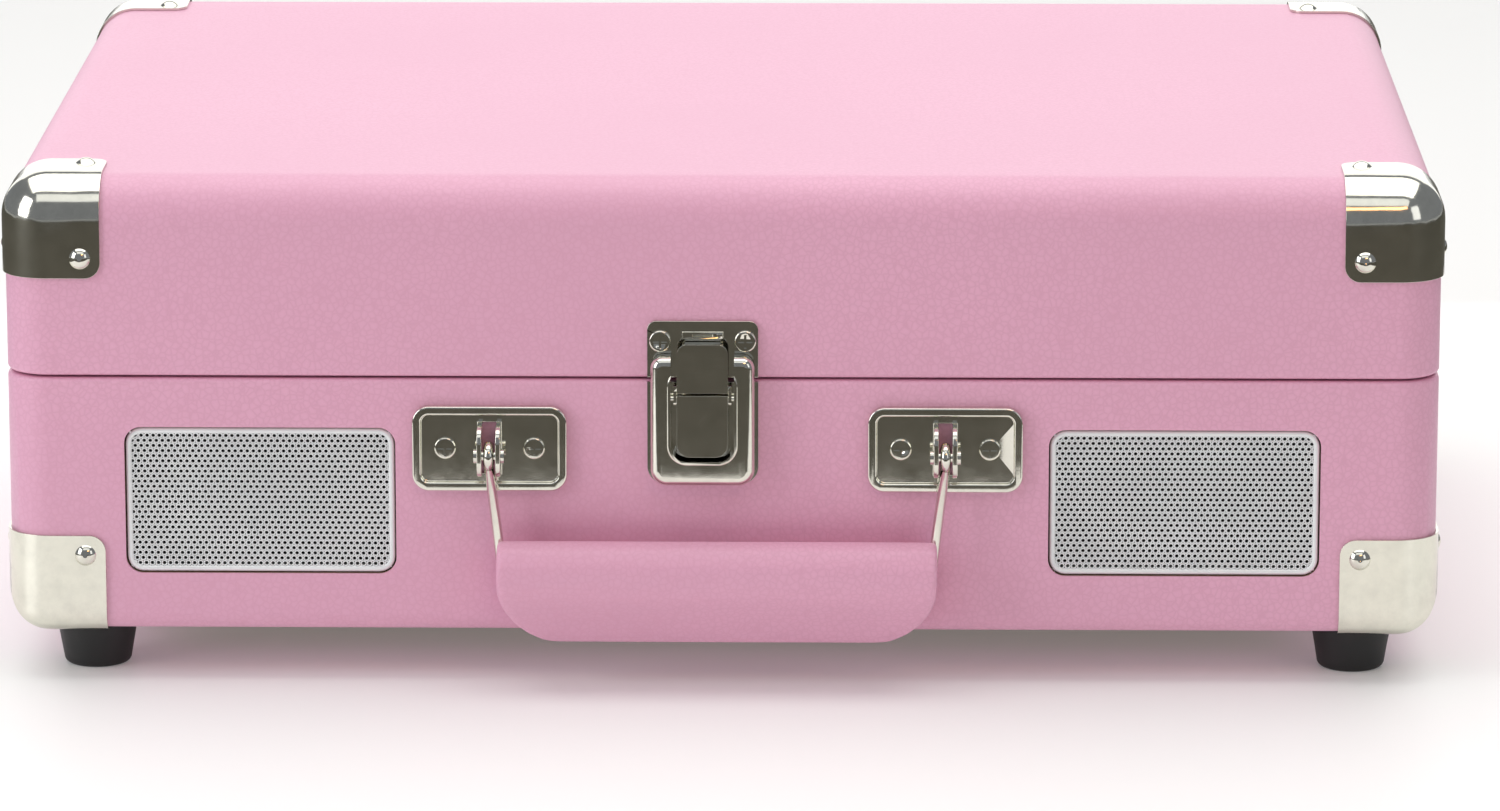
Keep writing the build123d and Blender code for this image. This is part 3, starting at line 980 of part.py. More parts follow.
# ---------------------------------------------------------------- controls
def build_controls():
    bodies = []
    for name, behind in KNOBS.items():
        y = MIDDLE + behind
        bottom = DECK_TOP + 1
        knob = post(KNOB_RADIUS, bottom, bottom + KNOB_HEIGHT, CONTROL_X, y)
        knob = fillet(knob.edges().group_by(Axis.Z)[-1], 1.5)
        ribs = 24
        for rib in range(ribs):
            turn = radians(360 * rib / ribs)
            rib_x, rib_y = CONTROL_X + KNOB_RADIUS * cos(turn), y + KNOB_RADIUS * sin(turn)
            knob -= post(0.6, bottom + 1, bottom + KNOB_HEIGHT - 2, rib_x, rib_y)
        top = bottom + KNOB_HEIGHT
        knob -= block(
            CONTROL_X - 0.5, CONTROL_X + 0.5, y + KNOB_RADIUS / 3, y + 2 * KNOB_RADIUS, top - 0.6, top + 1
        )
        knob += post(KNOB_SHAFT, DECK_UNDER - 6, bottom, CONTROL_X, y)
        out(f"{name}_knob", knob)
        pot = block(CONTROL_X - 8, CONTROL_X + 8, y - 8, y + 8, DECK_UNDER - 8, DECK_UNDER - CLOSE_FIT)
        bodies.append(pot - post(KNOB_SHAFT + RUNNING, DECK_UNDER - 6 - GAP, DECK_UNDER, CONTROL_X, y))
    y = MIDDLE + SWITCH_BEHIND
    foot_half = BUTTON_LENGTH / 2 + BUTTON_FOOT
    foot_width = BUTTON_WIDTH / 2 + BUTTON_FOOT
    for name, (x, travel) in SWITCHES.items():
        button = block(
            x - BUTTON_LENGTH / 2, x + BUTTON_LENGTH / 2, y - BUTTON_WIDTH / 2, y + BUTTON_WIDTH / 2,
            DECK_UNDER - 3, DECK_TOP + 4,
        )
        button = fillet(button.edges().filter_by(Axis.Y).group_by(Axis.Z)[-1], 1.2)
        button += block(
            x - foot_half, x + foot_half, y - foot_width, y + foot_width, DECK_UNDER - 3, DECK_UNDER - GAP
        )
        out(f"{name}_switch", button)
        case = block(
            x - foot_half - 2, x + foot_half + travel + 2, y - foot_width - 2, y + foot_width + 2,
            DECK_UNDER - 7, DECK_UNDER - CLOSE_FIT,
        )
        case -= block(
            x - foot_half - GAP, x + foot_half + travel + GAP, y - foot_width - GAP, y + foot_width + GAP,
            DECK_UNDER - 3 - GAP, DECK_UNDER,
        )
        bodies.append(case)
    out("control_bodies", *bodies)
    y = MIDDLE + PHONES_BEHIND
    jack = post(JACK_BARREL + 2, DECK_TOP, DECK_TOP + 1, CONTROL_X, y)
    jack += post(JACK_BARREL, DECK_UNDER - 1, DECK_TOP, CONTROL_X, y)
    jack += block(CONTROL_X - 5, CONTROL_X + 5, y - 5, y + 5, DECK_UNDER - 12, DECK_UNDER - CLOSE_FIT)
    out("phones_jack", jack - post(JACK_BORE, DECK_UNDER - 10, DECK_TOP + 2, CONTROL_X, y))
    lamp = post(LAMP_RADIUS, DECK_UNDER - 2, DECK_TOP + 1, CONTROL_X, MIDDLE + LAMP_BEHIND)
    out("indicator_lamp", fillet(lamp.edges().group_by(Axis.Z)[-1], 0.45 * LAMP_RADIUS))


# ---------------------------------------------------------------- rear panel and circuit board
LINE_OUT_RADIUS = 4.15
LINE_OUT_LENGTH = 9.0
LINE_OUT_AT = (-24.0, -8.0)     # from the panel's middle
AUX_AT = 8.0
POWER_AT = 24.0
POWER_BORE = 2.75
POWER_PIN = 1.0
PANEL_FACE = BACK - PANEL_DEEP
BOARD_SHEET = 1.6


def build_rear():
    lip = RectangleRounded(
        PANEL_WIDTH + 2 * PANEL_LIP, PANEL_HEIGHT + 2 * PANEL_LIP, PANEL_RADIUS + PANEL_LIP
    )
    tray = RectangleRounded(PANEL_WIDTH, PANEL_HEIGHT, PANEL_RADIUS)
    hollow = RectangleRounded(
        PANEL_WIDTH - 2 * PANEL_SHEET, PANEL_HEIGHT - 2 * PANEL_SHEET, PANEL_RADIUS - PANEL_SHEET
    )
    panel = facing(lip, PANEL_X, PANEL_Z, BACK + PANEL_SHEET, BACK + CLOSE_FIT)
    panel += facing(tray, PANEL_X, PANEL_Z, BACK + PANEL_SHEET, PANEL_FACE - PANEL_SHEET)
    panel -= facing(hollow, PANEL_X, PANEL_Z, BACK + 2 * PANEL_SHEET, PANEL_FACE)
    inner = PANEL_FACE - PANEL_SHEET
    line_outs = []
    for at in LINE_OUT_AT:
        x = PANEL_X + at
        panel -= along_y(3.0 + CLOSE_FIT, inner - 1, PANEL_FACE + 1, x, PANEL_Z)
        jack = along_y(LINE_OUT_RADIUS, PANEL_FACE, PANEL_FACE + LINE_OUT_LENGTH, x, PANEL_Z)
        jack += along_y(3.0, inner - 6, PANEL_FACE, x, PANEL_Z) + along_y(
            5.5, inner - 8, inner - CLOSE_FIT, x, PANEL_Z
        )
        line_outs.append(jack - along_y(1.65, PANEL_FACE, PANEL_FACE + 2 * LINE_OUT_LENGTH, x, PANEL_Z))
    x = PANEL_X + AUX_AT
    panel -= along_y(JACK_BARREL + CLOSE_FIT, inner - 1, PANEL_FACE + 1, x, PANEL_Z)
    aux = along_y(JACK_BARREL, inner - 1, PANEL_FACE + 1, x, PANEL_Z)
    aux += block(x - 5.5, x + 5.5, inner - 13, inner - CLOSE_FIT, PANEL_Z - 5.5, PANEL_Z + 5.5)
    out("aux_jack", aux - along_y(JACK_BORE, inner - 11, PANEL_FACE + 2, x, PANEL_Z))
    x = PANEL_X + POWER_AT
    panel -= block(x - 4.5, x + 4.5, inner - 1, PANEL_FACE + 1, PANEL_Z - 5.5, PANEL_Z + 5.5)
    opening = 4.5 - CLOSE_FIT
    power = block(
        x - opening, x + opening, inner - 12, PANEL_FACE + 0.5, PANEL_Z - opening - 1, PANEL_Z + opening + 1
    )
    power += block(x - 6, x + 6, inner - 12, inner - CLOSE_FIT, PANEL_Z - 6.5, PANEL_Z + 6.5)
    power -= along_y(POWER_BORE, inner - 9, PANEL_FACE + 1, x, PANEL_Z)
    out("power_inlet", power + along_y(POWER_PIN, inner - 10, PANEL_FACE - 1, x, PANEL_Z))
    out("rear_panel", panel)
    out("line_out_jacks", *line_outs)

    board_x, board_y, board_z = 60.0, MIDDLE + 40, FLOOR_TOP + 6
    half_x, half_y = 55.0, 36.0
    board = block(
        board_x - half_x, board_x + half_x, board_y - half_y, board_y + half_y, board_z,
        board_z + BOARD_SHEET
    )
    top = board_z + BOARD_SHEET
    for side in SIDES.values():
        for end in ENDS.values():
            board += post(
                3, FLOOR_TOP, board_z, board_x + side * (half_x - 5), board_y + end * (half_y - 5)
            )
    board += block(board_x - 40, board_x - 10, board_y - 5, board_y + 3, top, top + 22)
    board += block(board_x + 5, board_x + 25, board_y - 10, board_y, top, top + 4)
    for place in range(4):
        board += post(5, top, top + 14, board_x - 30 + 18 * place, board_y + 20)
    out("circuit_board", board)


os.makedirs("parts", exist_ok=True)
build_base_case()
build_lid_case()
build_corners()
build_feet()
build_handle()
build_brackets()
build_hinges()
build_latch()
build_deck()
build_speakers()
build_platter()
build_arm()
build_controls()
build_rear()
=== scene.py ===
import bpy
import bmesh
import json
import math
from mathutils import Matrix, Vector


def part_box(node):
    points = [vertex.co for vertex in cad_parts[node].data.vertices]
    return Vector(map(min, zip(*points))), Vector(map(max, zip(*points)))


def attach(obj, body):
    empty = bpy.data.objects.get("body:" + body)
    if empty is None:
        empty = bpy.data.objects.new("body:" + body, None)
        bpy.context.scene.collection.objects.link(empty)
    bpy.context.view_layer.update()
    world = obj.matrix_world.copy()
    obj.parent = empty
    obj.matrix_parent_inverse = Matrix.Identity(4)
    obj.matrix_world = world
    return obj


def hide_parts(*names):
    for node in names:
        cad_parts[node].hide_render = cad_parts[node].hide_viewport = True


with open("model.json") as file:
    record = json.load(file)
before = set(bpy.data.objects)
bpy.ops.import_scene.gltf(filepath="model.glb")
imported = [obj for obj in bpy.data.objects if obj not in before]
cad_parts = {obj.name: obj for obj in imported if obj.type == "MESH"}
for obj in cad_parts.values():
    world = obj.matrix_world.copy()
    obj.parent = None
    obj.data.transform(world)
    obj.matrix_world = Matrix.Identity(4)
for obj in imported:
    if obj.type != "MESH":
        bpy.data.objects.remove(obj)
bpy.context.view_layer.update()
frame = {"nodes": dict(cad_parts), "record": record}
nodes = frame["nodes"]
bodies = frame["record"]["behaviour"]["bodies"]
body_of_node = {node: body for body, members in bodies.items() for node in members}


# ---- Helpers
WELD_DISTANCE = 2e-6
FLAT_ANGLE = 0.4             # degrees; flatter edges are dissolved
SHARP_ANGLE = 32.0           # degrees; sharper edges stay creases


def add(tree, kind, **settings):
    """A shader node with its settings; a name that is no attribute of the node sets the value of its input
    socket.
    """
    node = tree.nodes.new(kind)
    for key, value in settings.items():
        if hasattr(node, key):
            setattr(node, key, value)
        else:
            node.inputs[key.replace("_", " ")].default_value = value
    return node


def new_finish(name, base, roughness, metallic=0.0):
    """A material with its Principled shader; returns material, tree and shader."""
    material = bpy.data.materials.new(name)
    material.use_nodes = True
    tree = material.node_tree
    shader = tree.nodes["Principled BSDF"]
    shader.inputs["Base Color"].default_value = (*base, 1)
    shader.inputs["Roughness"].default_value = roughness
    shader.inputs["Metallic"].default_value = metallic
    return material, tree, shader


def object_place(tree):
    """Places in the piece's own space, in metres, for textures."""
    return tree.nodes.new("ShaderNodeTexCoord").outputs["Object"]


def ramp(tree, source, stops):
    """A colour ramp fed by source, with (place, colour) stops."""
    node = tree.nodes.new("ShaderNodeValToRGB")
    elements = node.color_ramp.elements
    while len(elements) < len(stops):
        elements.new(0.5)
    for element, (place, colour) in zip(elements, stops):
        element.position = place
        element.color = (*colour, 1)
    tree.links.new(source, node.inputs["Fac"])
    return node.outputs["Color"]


def value_range(tree, source, low, high):
    """Source, from 0 to 1, mapped to low to high."""
    node = add(tree, "ShaderNodeMapRange")
    node.inputs["To Min"].default_value = low
    node.inputs["To Max"].default_value = high
    tree.links.new(source, node.inputs["Value"])
    return node.outputs["Result"]


def relief(tree, height, depth, strength=1.0, under=None):
    """A bump of the given depth in metres, on top of another bump."""
    node = add(tree, "ShaderNodeBump")
    node.inputs["Strength"].default_value = strength
    node.inputs["Distance"].default_value = depth
    tree.links.new(height, node.inputs["Height"])
    if under is not None:
        tree.links.new(under, node.inputs["Normal"])
    return node.outputs["Normal"]


def set_material(piece, material):
    """Gives a piece this one material."""
    piece.data.materials.clear()
    piece.data.materials.append(material)


def softened(node, material, rounding=0.0, segments=2):
    """A clean copy of a solid with its edges softened, riding where the solid rides and shown for it."""
    mesh = nodes[node].data.copy()
    work = bmesh.new()
    work.from_mesh(mesh)
    bmesh.ops.remove_doubles(work, verts=work.verts, dist=WELD_DISTANCE)
    bmesh.ops.dissolve_limit(work, angle_limit=math.radians(FLAT_ANGLE), verts=work.verts, edges=work.edges)
    for face in work.faces:
        face.smooth = True
    work.to_mesh(mesh)
    work.free()
    piece = bpy.data.objects.new(node + "_finished", mesh)
    bpy.context.scene.collection.objects.link(piece)
    mesh.set_sharp_from_angle(angle=math.radians(SHARP_ANGLE))
    set_material(piece, material)
    if rounding:
        bevel = piece.modifiers.new("edges", "BEVEL")
        bevel.width = rounding
        bevel.segments = segments
        bevel.limit_method = "ANGLE"
        bevel.angle_limit = math.radians(SHARP_ANGLE)
        bevel.harden_normals = True
    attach(piece, body_of_node[node])
    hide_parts(node)


def dress(node, material):
    """Gives a solid its finish as it stands."""
    set_material(nodes[node], material)


def link_mesh(name, work, material, smooth_angle=SHARP_ANGLE):
    """Turns a finished bmesh into an object with one material."""
    mesh = bpy.data.meshes.new(name)
    for face in work.faces:
        face.smooth = True
    work.to_mesh(mesh)
    work.free()
    mesh.set_sharp_from_angle(angle=math.radians(smooth_angle))
    piece = bpy.data.objects.new(name, mesh)
    bpy.context.scene.collection.objects.link(piece)
    set_material(piece, material)
    return piece


def apply_all(piece):
    """Applies a piece's modifiers to its mesh."""
    graph = bpy.context.evaluated_depsgraph_get()
    finished = bpy.data.meshes.new_from_object(piece.evaluated_get(graph))
    old = piece.data
    piece.modifiers.clear()
    piece.data = finished
    bpy.data.meshes.remove(old)


# ---- Covering of lid and base
# Pink leatherette: a thin embossed vinyl with a soft sheen, glued over the boards and turned in over
# the rims. The same hide wraps the grip.
GRAIN_WARP = 0.0011
FOLD_STRETCH = (0.28, 1.0, 1.0)    # the folds run along the case
FOLD_DEPTH = 0.00013
PEBBLE_DEPTH = 0.00003
FINE_DEPTH = 0.00001


def leatherette(name, colour, crease_shade, grain=620.0):
    """Embossed vinyl: pebbles with painted shade in their creases, long folds, a fine grain and slow patches
    of colour.
    """
    material, tree, shader = new_finish(name, colour, 0.42)
    link = tree.links.new
    place = object_place(tree)
    drift = add(tree, "ShaderNodeTexNoise", Scale=grain * 0.55, Detail=2.0)
    link(place, drift.inputs["Vector"])
    push = add(tree, "ShaderNodeVectorMath", operation="MULTIPLY_ADD")
    link(drift.outputs["Color"], push.inputs[0])
    push.inputs[1].default_value = (GRAIN_WARP, GRAIN_WARP, GRAIN_WARP)
    link(place, push.inputs[2])
    pebbles = add(tree, "ShaderNodeTexVoronoi", feature="DISTANCE_TO_EDGE", Scale=grain)
    link(push.outputs["Vector"], pebbles.inputs["Vector"])
    swell = [(0.0, (0, 0, 0)), (0.16, (0.7, 0.7, 0.7)), (0.5, (1, 1, 1))]
    rounded = ramp(tree, pebbles.outputs["Distance"], swell)
    fine = add(tree, "ShaderNodeTexNoise", Scale=grain * 5, Detail=3.0)
    link(place, fine.inputs["Vector"])
    stretch = add(tree, "ShaderNodeVectorMath", operation="MULTIPLY")
    link(place, stretch.inputs[0])
    stretch.inputs[1].default_value = FOLD_STRETCH
    folds = add(tree, "ShaderNodeTexNoise", Scale=grain * 0.5, Detail=4.0, Roughness=0.6)
    link(stretch.outputs["Vector"], folds.inputs["Vector"])
    bump = relief(tree, folds.outputs["Fac"], FOLD_DEPTH, 0.6)
    bump = relief(tree, rounded, PEBBLE_DEPTH, 0.55, bump)
    bump = relief(tree, fine.outputs["Fac"], FINE_DEPTH, 0.5, bump)
    link(bump, shader.inputs["Normal"])
    patches = add(tree, "ShaderNodeTexNoise", Scale=9.0, Detail=3.0)
    link(place, patches.inputs["Vector"])
    lighter = tuple(min(1.0, c * 1.035) for c in colour)
    darker = tuple(c * 0.965 for c in colour)
    cloud = ramp(tree, patches.outputs["Fac"], [(0.3, darker), (0.7, lighter)])
    # painted shade: the creases between the pebbles are mixed towards the darker crease colour
    mix = add(tree, "ShaderNodeMix", data_type="RGBA")
    link(value_range(tree, rounded, 0.0, 1.0), mix.inputs["Factor"])
    mix.inputs["A"].default_value = (*crease_shade, 1)
    link(cloud, mix.inputs["B"])
    link(mix.outputs["Result"], shader.inputs["Base Color"])
    link(value_range(tree, fine.outputs["Fac"], 0.36, 0.52), shader.inputs["Roughness"])
    shader.inputs["Specular IOR Level"].default_value = 0.45
    shader.inputs["Sheen Weight"].default_value = 0.06
    return material


# the second colour is painted shade for the creases between the pebbles
pink = leatherette("pink_leatherette", (0.80, 0.430, 0.578), (0.75, 0.385, 0.525))
softened("base_covering", pink)
softened("lid_covering", pink)


# ---- Boards of lid and base
# Pressed brown board, 7 mm thick, sawn and glued; the lid's hollow is lined with the covering's
# own lining paper.
def pressed_board(name, light, dark):
    """Fibreboard or lining paper: fibres in two tones over pressed chips."""
    material, tree, shader = new_finish(name, light, 0.8)
    place = object_place(tree)
    chips = add(tree, "ShaderNodeTexVoronoi", Scale=420.0, Randomness=1.0)
    tree.links.new(place, chips.inputs["Vector"])
    fibres = add(tree, "ShaderNodeTexNoise", Scale=900.0, Detail=5.0)
    tree.links.new(place, fibres.inputs["Vector"])
    tree.links.new(ramp(tree, fibres.outputs["Fac"], [(0.3, dark), (0.7, light)]), shader.inputs["Base Color"])
    tree.links.new(relief(tree, chips.outputs["Distance"], 0.0001, 0.4), shader.inputs["Normal"])
    return material


board = pressed_board("case_board", (0.42, 0.30, 0.19), (0.26, 0.17, 0.10))
lining = pressed_board("lining_paper", (0.76, 0.66, 0.66), (0.66, 0.55, 0.56))
for node in ("base_walls", "base_floor", "corner_posts"):
    dress(node, board)
dress("lid_box", lining)


# ---- Pressed corners, rivets, hinges, brackets, screws and latch
# Deep-drawn steel, nickel-plated and tumbled: bright, slightly warm, with the soft waves that the
# drawing leaves in thin sheet and fine rubbing marks.
def plated(name, colour, roughness, waves=0.00022, wave_scale=75.0):
    """Bare or plated metal, with waves of the given depth in metres."""
    material, tree, shader = new_finish(name, colour, roughness, 1.0)
    place = object_place(tree)
    dents = add(tree, "ShaderNodeTexNoise", Scale=wave_scale, Detail=1.5, Roughness=0.4)
    tree.links.new(place, dents.inputs["Vector"])
    rubbing = add(tree, "ShaderNodeTexNoise", Scale=2600.0, Detail=4.0)
    tree.links.new(place, rubbing.inputs["Vector"])
    bump = relief(tree, dents.outputs["Fac"], waves, 1.0)
    bump = relief(tree, rubbing.outputs["Fac"], 0.000004, 0.6, bump)
    tree.links.new(bump, shader.inputs["Normal"])
    smear = add(tree, "ShaderNodeTexNoise", Scale=180.0, Detail=6.0, Roughness=0.7)
    tree.links.new(place, smear.inputs["Vector"])
    smeared = value_range(tree, smear.outputs["Fac"], roughness * 0.5, roughness * 1.6)
    tree.links.new(smeared, shader.inputs["Roughness"])
    dulled = tuple(c * 0.9 for c in colour)
    tone = ramp(tree, smear.outputs["Fac"], [(0.35, dulled), (0.6, colour)])
    tree.links.new(tone, shader.inputs["Base Color"])
    return material


nickel = plated("nickel_plate", (0.79, 0.78, 0.68), 0.11, 0.0005, 55.0)
nickel_small = plated("nickel_plate_small", (0.79, 0.78, 0.69), 0.09, 0.000015, 260.0)
zinc = plated("zinc_plate", (0.62, 0.62, 0.60), 0.34)
for node in ("base_corners", "lid_corners"):
    softened(node, nickel, 0.00025, 2)
for node in ("base_rivets", "lid_rivets", "handle_pins", "hinge_pins", "latch_pin"):
    softened(node, nickel_small)
for node, rounding in (
    ("hinge_leaves_base", 0.0003), ("hinge_leaves_lid", 0.0003), ("base_screws", 0.0), ("lid_screws", 0.0),
    ("handle_bracket_left", 0.0005), ("handle_bracket_right", 0.0005), ("latch_catch", 0.00035),
    ("latch_frame", 0.0005), ("latch_lever", 0.0004), ("latch_hasp", 0.0004),
    ("handle_wire_left", 0.0), ("handle_wire_right", 0.0),
):
    softened(node, nickel_small, rounding, 3)
for node in ("foot_screws", "inner_screws", "motor", "control_bodies"):
    softened(node, zinc)


# ---- Feet
# Moulded black rubber, tapered to the sole, each held by a screw in a socket in the sole.
def moulded(name, colour, roughness, texture=1600.0, depth=0.00002, metallic=0.0):
    """Moulded plastic, rubber or lacquer, with a fine texture and rubbed patches."""
    material, tree, shader = new_finish(name, colour, roughness, metallic)
    place = object_place(tree)
    grain = add(tree, "ShaderNodeTexNoise", Scale=texture, Detail=4.0)
    tree.links.new(place, grain.inputs["Vector"])
    rub = add(tree, "ShaderNodeTexNoise", Scale=45.0, Detail=5.0, Roughness=0.65)
    tree.links.new(place, rub.inputs["Vector"])
    tree.links.new(relief(tree, grain.outputs["Fac"], depth, 0.7), shader.inputs["Normal"])
    rubbed = value_range(tree, rub.outputs["Fac"], roughness * 0.8, min(1.0, roughness * 1.2))
    tree.links.new(rubbed, shader.inputs["Roughness"])
    worn = tuple(min(1.0, c * 1.12 + 0.004) for c in colour)
    tree.links.new(ramp(tree, rub.outputs["Fac"], [(0.4, colour), (0.8, worn)]), shader.inputs["Base Color"])
    return material


foot_rubber = moulded("foot_rubber", (0.012, 0.012, 0.012), 0.55)
softened("feet", foot_rubber, 0.0004, 3)


# ---- Speaker grilles
# Light lacquered steel sheet, punched with staggered round holes and folded back all round into a
# shallow tray that the speaker's frame clamps in the window.
GRILLE_PITCH = 0.0015
HOLE_RADIUS = 0.00045
GRILLE_SHEET = 0.0005
GRILLE_RIM = 0.0009
GRILLE_WIDTH = 0.0666
GRILLE_CORNER = 0.004
CELL_SIDES = 12              # corners of the cell and of its hole
CELL_WELD = 2e-5


def punched_sheet(low, high, face_y):
    """The sheet's face between two corners in X and Z, with hexagonal cells that each hold a round hole."""
    cell = bmesh.new()
    rim = bmesh.ops.create_circle(cell, cap_ends=False, segments=CELL_SIDES, radius=GRILLE_PITCH / 2)["verts"]
    for index, vert in enumerate(rim):
        if index % 2:
            vert.co *= 1 / math.cos(math.pi / 6)
    bmesh.ops.create_circle(cell, cap_ends=False, segments=CELL_SIDES, radius=HOLE_RADIUS)
    bmesh.ops.bridge_loops(cell, edges=cell.edges[:])
    bmesh.ops.rotate(cell, verts=cell.verts, matrix=Matrix.Rotation(math.pi / 2, 3, "X"))
    pattern = bpy.data.meshes.new("cell")
    cell.to_mesh(pattern)
    cell.free()
    sheet = bmesh.new()
    row_pitch = GRILLE_PITCH * math.sqrt(3) / 2
    columns = int((high.x - low.x) / GRILLE_PITCH) + 2
    rows = int((high.z - low.z) / row_pitch) + 2
    for row in range(rows):
        for column in range(columns):
            start = len(sheet.verts)
            sheet.from_mesh(pattern)
            sheet.verts.ensure_lookup_table()
            across = (column + 0.5 * (row % 2)) * GRILLE_PITCH
            shift = Vector((low.x + across, face_y, low.z + row * row_pitch))
            bmesh.ops.translate(sheet, verts=sheet.verts[start:], vec=shift)
    bpy.data.meshes.remove(pattern)
    bmesh.ops.remove_doubles(sheet, verts=sheet.verts, dist=CELL_WELD)
    for point, normal in (
        ((low.x, 0, 0), (-1, 0, 0)), ((high.x, 0, 0), (1, 0, 0)),
        ((0, 0, low.z), (0, 0, -1)), ((0, 0, high.z), (0, 0, 1)),
    ):
        everything = sheet.verts[:] + sheet.edges[:] + sheet.faces[:]
        bmesh.ops.bisect_plane(sheet, geom=everything, plane_co=point, plane_no=normal, clear_outer=True)
    return sheet


def rounded_loop(work, low, high, radius, y, steps=6):
    """A closed loop of edges round a rounded rectangle in X and Z."""
    verts = []
    corners = ((high.x, high.z, 0), (low.x, high.z, 90), (low.x, low.z, 180), (high.x, low.z, 270))
    for x, z, turn in corners:
        centre_x = x - radius if x == high.x else x + radius
        centre_z = z - radius if z == high.z else z + radius
        for step in range(steps + 1):
            angle = math.radians(turn + 90 * step / steps)
            place = (centre_x + radius * math.cos(angle), y, centre_z + radius * math.sin(angle))
            verts.append(work.verts.new(place))
    return [work.edges.new((verts[i], verts[(i + 1) % len(verts)])) for i in range(len(verts))]


def grille_tray(name, low, high, radius, material):
    """One grille: the punched face and the folded rim round it."""
    face_y = low.y
    border = Vector((GRILLE_RIM, 0, GRILLE_RIM))
    work = punched_sheet(low + border, high - border, face_y + GRILLE_SHEET)
    bmesh.ops.recalc_face_normals(work, faces=work.faces)
    face = link_mesh(name + "_face", work, material)
    solid = face.modifiers.new("sheet", "SOLIDIFY")
    solid.thickness = GRILLE_SHEET
    solid.offset = 0.0
    rim = bmesh.new()
    inner = 1.7 * GRILLE_RIM
    # the rim's section: inset from the outline, depth behind the face
    profile = (
        (inner, 0.0004), (inner * 0.8, 0.0001), (GRILLE_RIM * 0.8, 0.0), (GRILLE_RIM * 0.3, 0.0002),
        (0.0, 0.0008), (0.0, high.y - face_y),
    )
    loops = []
    for inset, back in profile:
        shrink = Vector((inset, 0, inset))
        loops.append(rounded_loop(rim, low + shrink, high - shrink, radius - inset, face_y + back))
    for first, second in zip(loops, loops[1:]):
        bmesh.ops.bridge_loops(rim, edges=first + second)
    bmesh.ops.recalc_face_normals(rim, faces=rim.faces)
    edge = link_mesh(name + "_rim", rim, material, 60.0)
    wall = edge.modifiers.new("sheet", "SOLIDIFY")
    wall.thickness = GRILLE_SHEET
    wall.offset = -1.0
    for piece in (face, edge):
        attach(piece, "base")
    return [face, edge]


silver = moulded("silver_lacquer", (0.84, 0.87, 0.87), 0.40, 900.0, 0.00001, 0.15)
grille_low, grille_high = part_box("speaker_grilles")
grille_pieces = []
for side, start in (("left", grille_low.x), ("right", grille_high.x - GRILLE_WIDTH)):
    low = Vector((start, grille_low.y, grille_low.z))
    high = Vector((start + GRILLE_WIDTH, grille_high.y, grille_high.z))
    grille_pieces += grille_tray("grille_" + side, low, high, GRILLE_CORNER, silver)
for piece in grille_pieces:
    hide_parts("speaker_grilles")


# ---- Speakers
# Pressed frame, black paper cone and ferrite magnet behind each grille, under a black dust cloth.
cone_paper = moulded("cone_paper", (0.015, 0.015, 0.015), 0.85, 700.0, 0.00006)
softened("speakers", cone_paper)


# ---- Handle grip
# A leatherette sleeve folded over the two wires, padded inside the fold and pressed flat below, where
# its two layers are glued and cut to a rounded outline.
GRIP_CUTS = 48
GRIP_CORNER = 0.0165         # radius of the lower corners
GRIP_VOXEL = 0.0010
FILL_PRESSURE = 3.0
FILL_STIFFNESS = 20.0
FILL_FRAMES = 14
FILL_REACH = 0.0009          # the furthest that the filling moves the hide
# the section from the pressed lower edge up and round the padded top, as shares of depth and height
GRIP_SECTION = (
    (0.10, 0.0), (0.24, 0.0), (0.34, 0.10), (0.55, 0.30), (0.86, 0.50), (0.95, 0.64), (0.93, 0.80),
    (0.80, 0.93), (0.55, 0.985), (0.28, 0.93), (0.10, 0.80), (0.04, 0.60), (0.05, 0.30),
)
grip_low, grip_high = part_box("handle_grip")


def grip_form():
    """The padded sleeve before it is filled: a drop-shaped section drawn along the handle."""
    length = grip_high.x - grip_low.x
    depth = grip_high.y - grip_low.y
    height = grip_high.z - grip_low.z
    back = grip_high.y
    work = bmesh.new()
    loop = [work.verts.new((grip_low.x, back - depth * d, grip_low.z + height * h)) for d, h in GRIP_SECTION]
    end = work.faces.new(loop)
    grown = bmesh.ops.extrude_face_region(work, geom=[end])
    moved = [item for item in grown["geom"] if isinstance(item, bmesh.types.BMVert)]
    bmesh.ops.translate(work, verts=moved, vec=(length, 0, 0))
    bmesh.ops.recalc_face_normals(work, faces=work.faces)
    lengthwise = [edge for edge in work.edges if abs(edge.verts[0].co.x - edge.verts[1].co.x) > length / 2]
    bmesh.ops.subdivide_edges(work, edges=lengthwise, cuts=GRIP_CUTS, use_grid_fill=True)
    return work


def shape_grip_ends(verts):
    """Rounds the sleeve's lower corners and draws it in a little towards its ends."""
    radius = GRIP_CORNER
    centre = (grip_low.x + grip_high.x) / 2
    half = (grip_high.x - grip_low.x) / 2
    for vert in verts:
        low_part = max(0.0, grip_low.z + radius - vert.co.z) / radius
        reach = half - radius * (1 - math.sqrt(max(0.0, 1 - min(1.0, low_part) ** 2)))
        share = (vert.co.x - centre) / half
        vert.co.x = centre + share * reach


grip = link_mesh("handle_grip_sleeve", grip_form(), pink, 180.0)


def even_mesh(piece):
    """Gives a piece a dense, even mesh, so that its ends can be rounded without flat facets."""
    remesh = piece.modifiers.new("even", "REMESH")
    remesh.mode = "VOXEL"
    remesh.voxel_size = GRIP_VOXEL
    apply_all(piece)


def fill_sleeve(piece):
    """Fills the sleeve with padding by a short cloth simulation, and applies it to the mesh."""
    start = [vert.co.copy() for vert in piece.data.vertices]
    cloth = piece.modifiers.new("fill", "CLOTH")
    cloth.settings.use_pressure = True
    cloth.settings.uniform_pressure_force = FILL_PRESSURE
    cloth.settings.effector_weights.gravity = 0.0
    cloth.settings.tension_stiffness = FILL_STIFFNESS
    cloth.settings.compression_stiffness = FILL_STIFFNESS
    scene = bpy.context.scene
    for step in range(1, FILL_FRAMES + 1):
        scene.frame_set(step)
    apply_all(piece)
    scene.frame_set(1)
    for vert, was in zip(piece.data.vertices, start):
        shift = vert.co - was
        if shift.length > FILL_REACH:
            vert.co = was + shift.normalized() * FILL_REACH


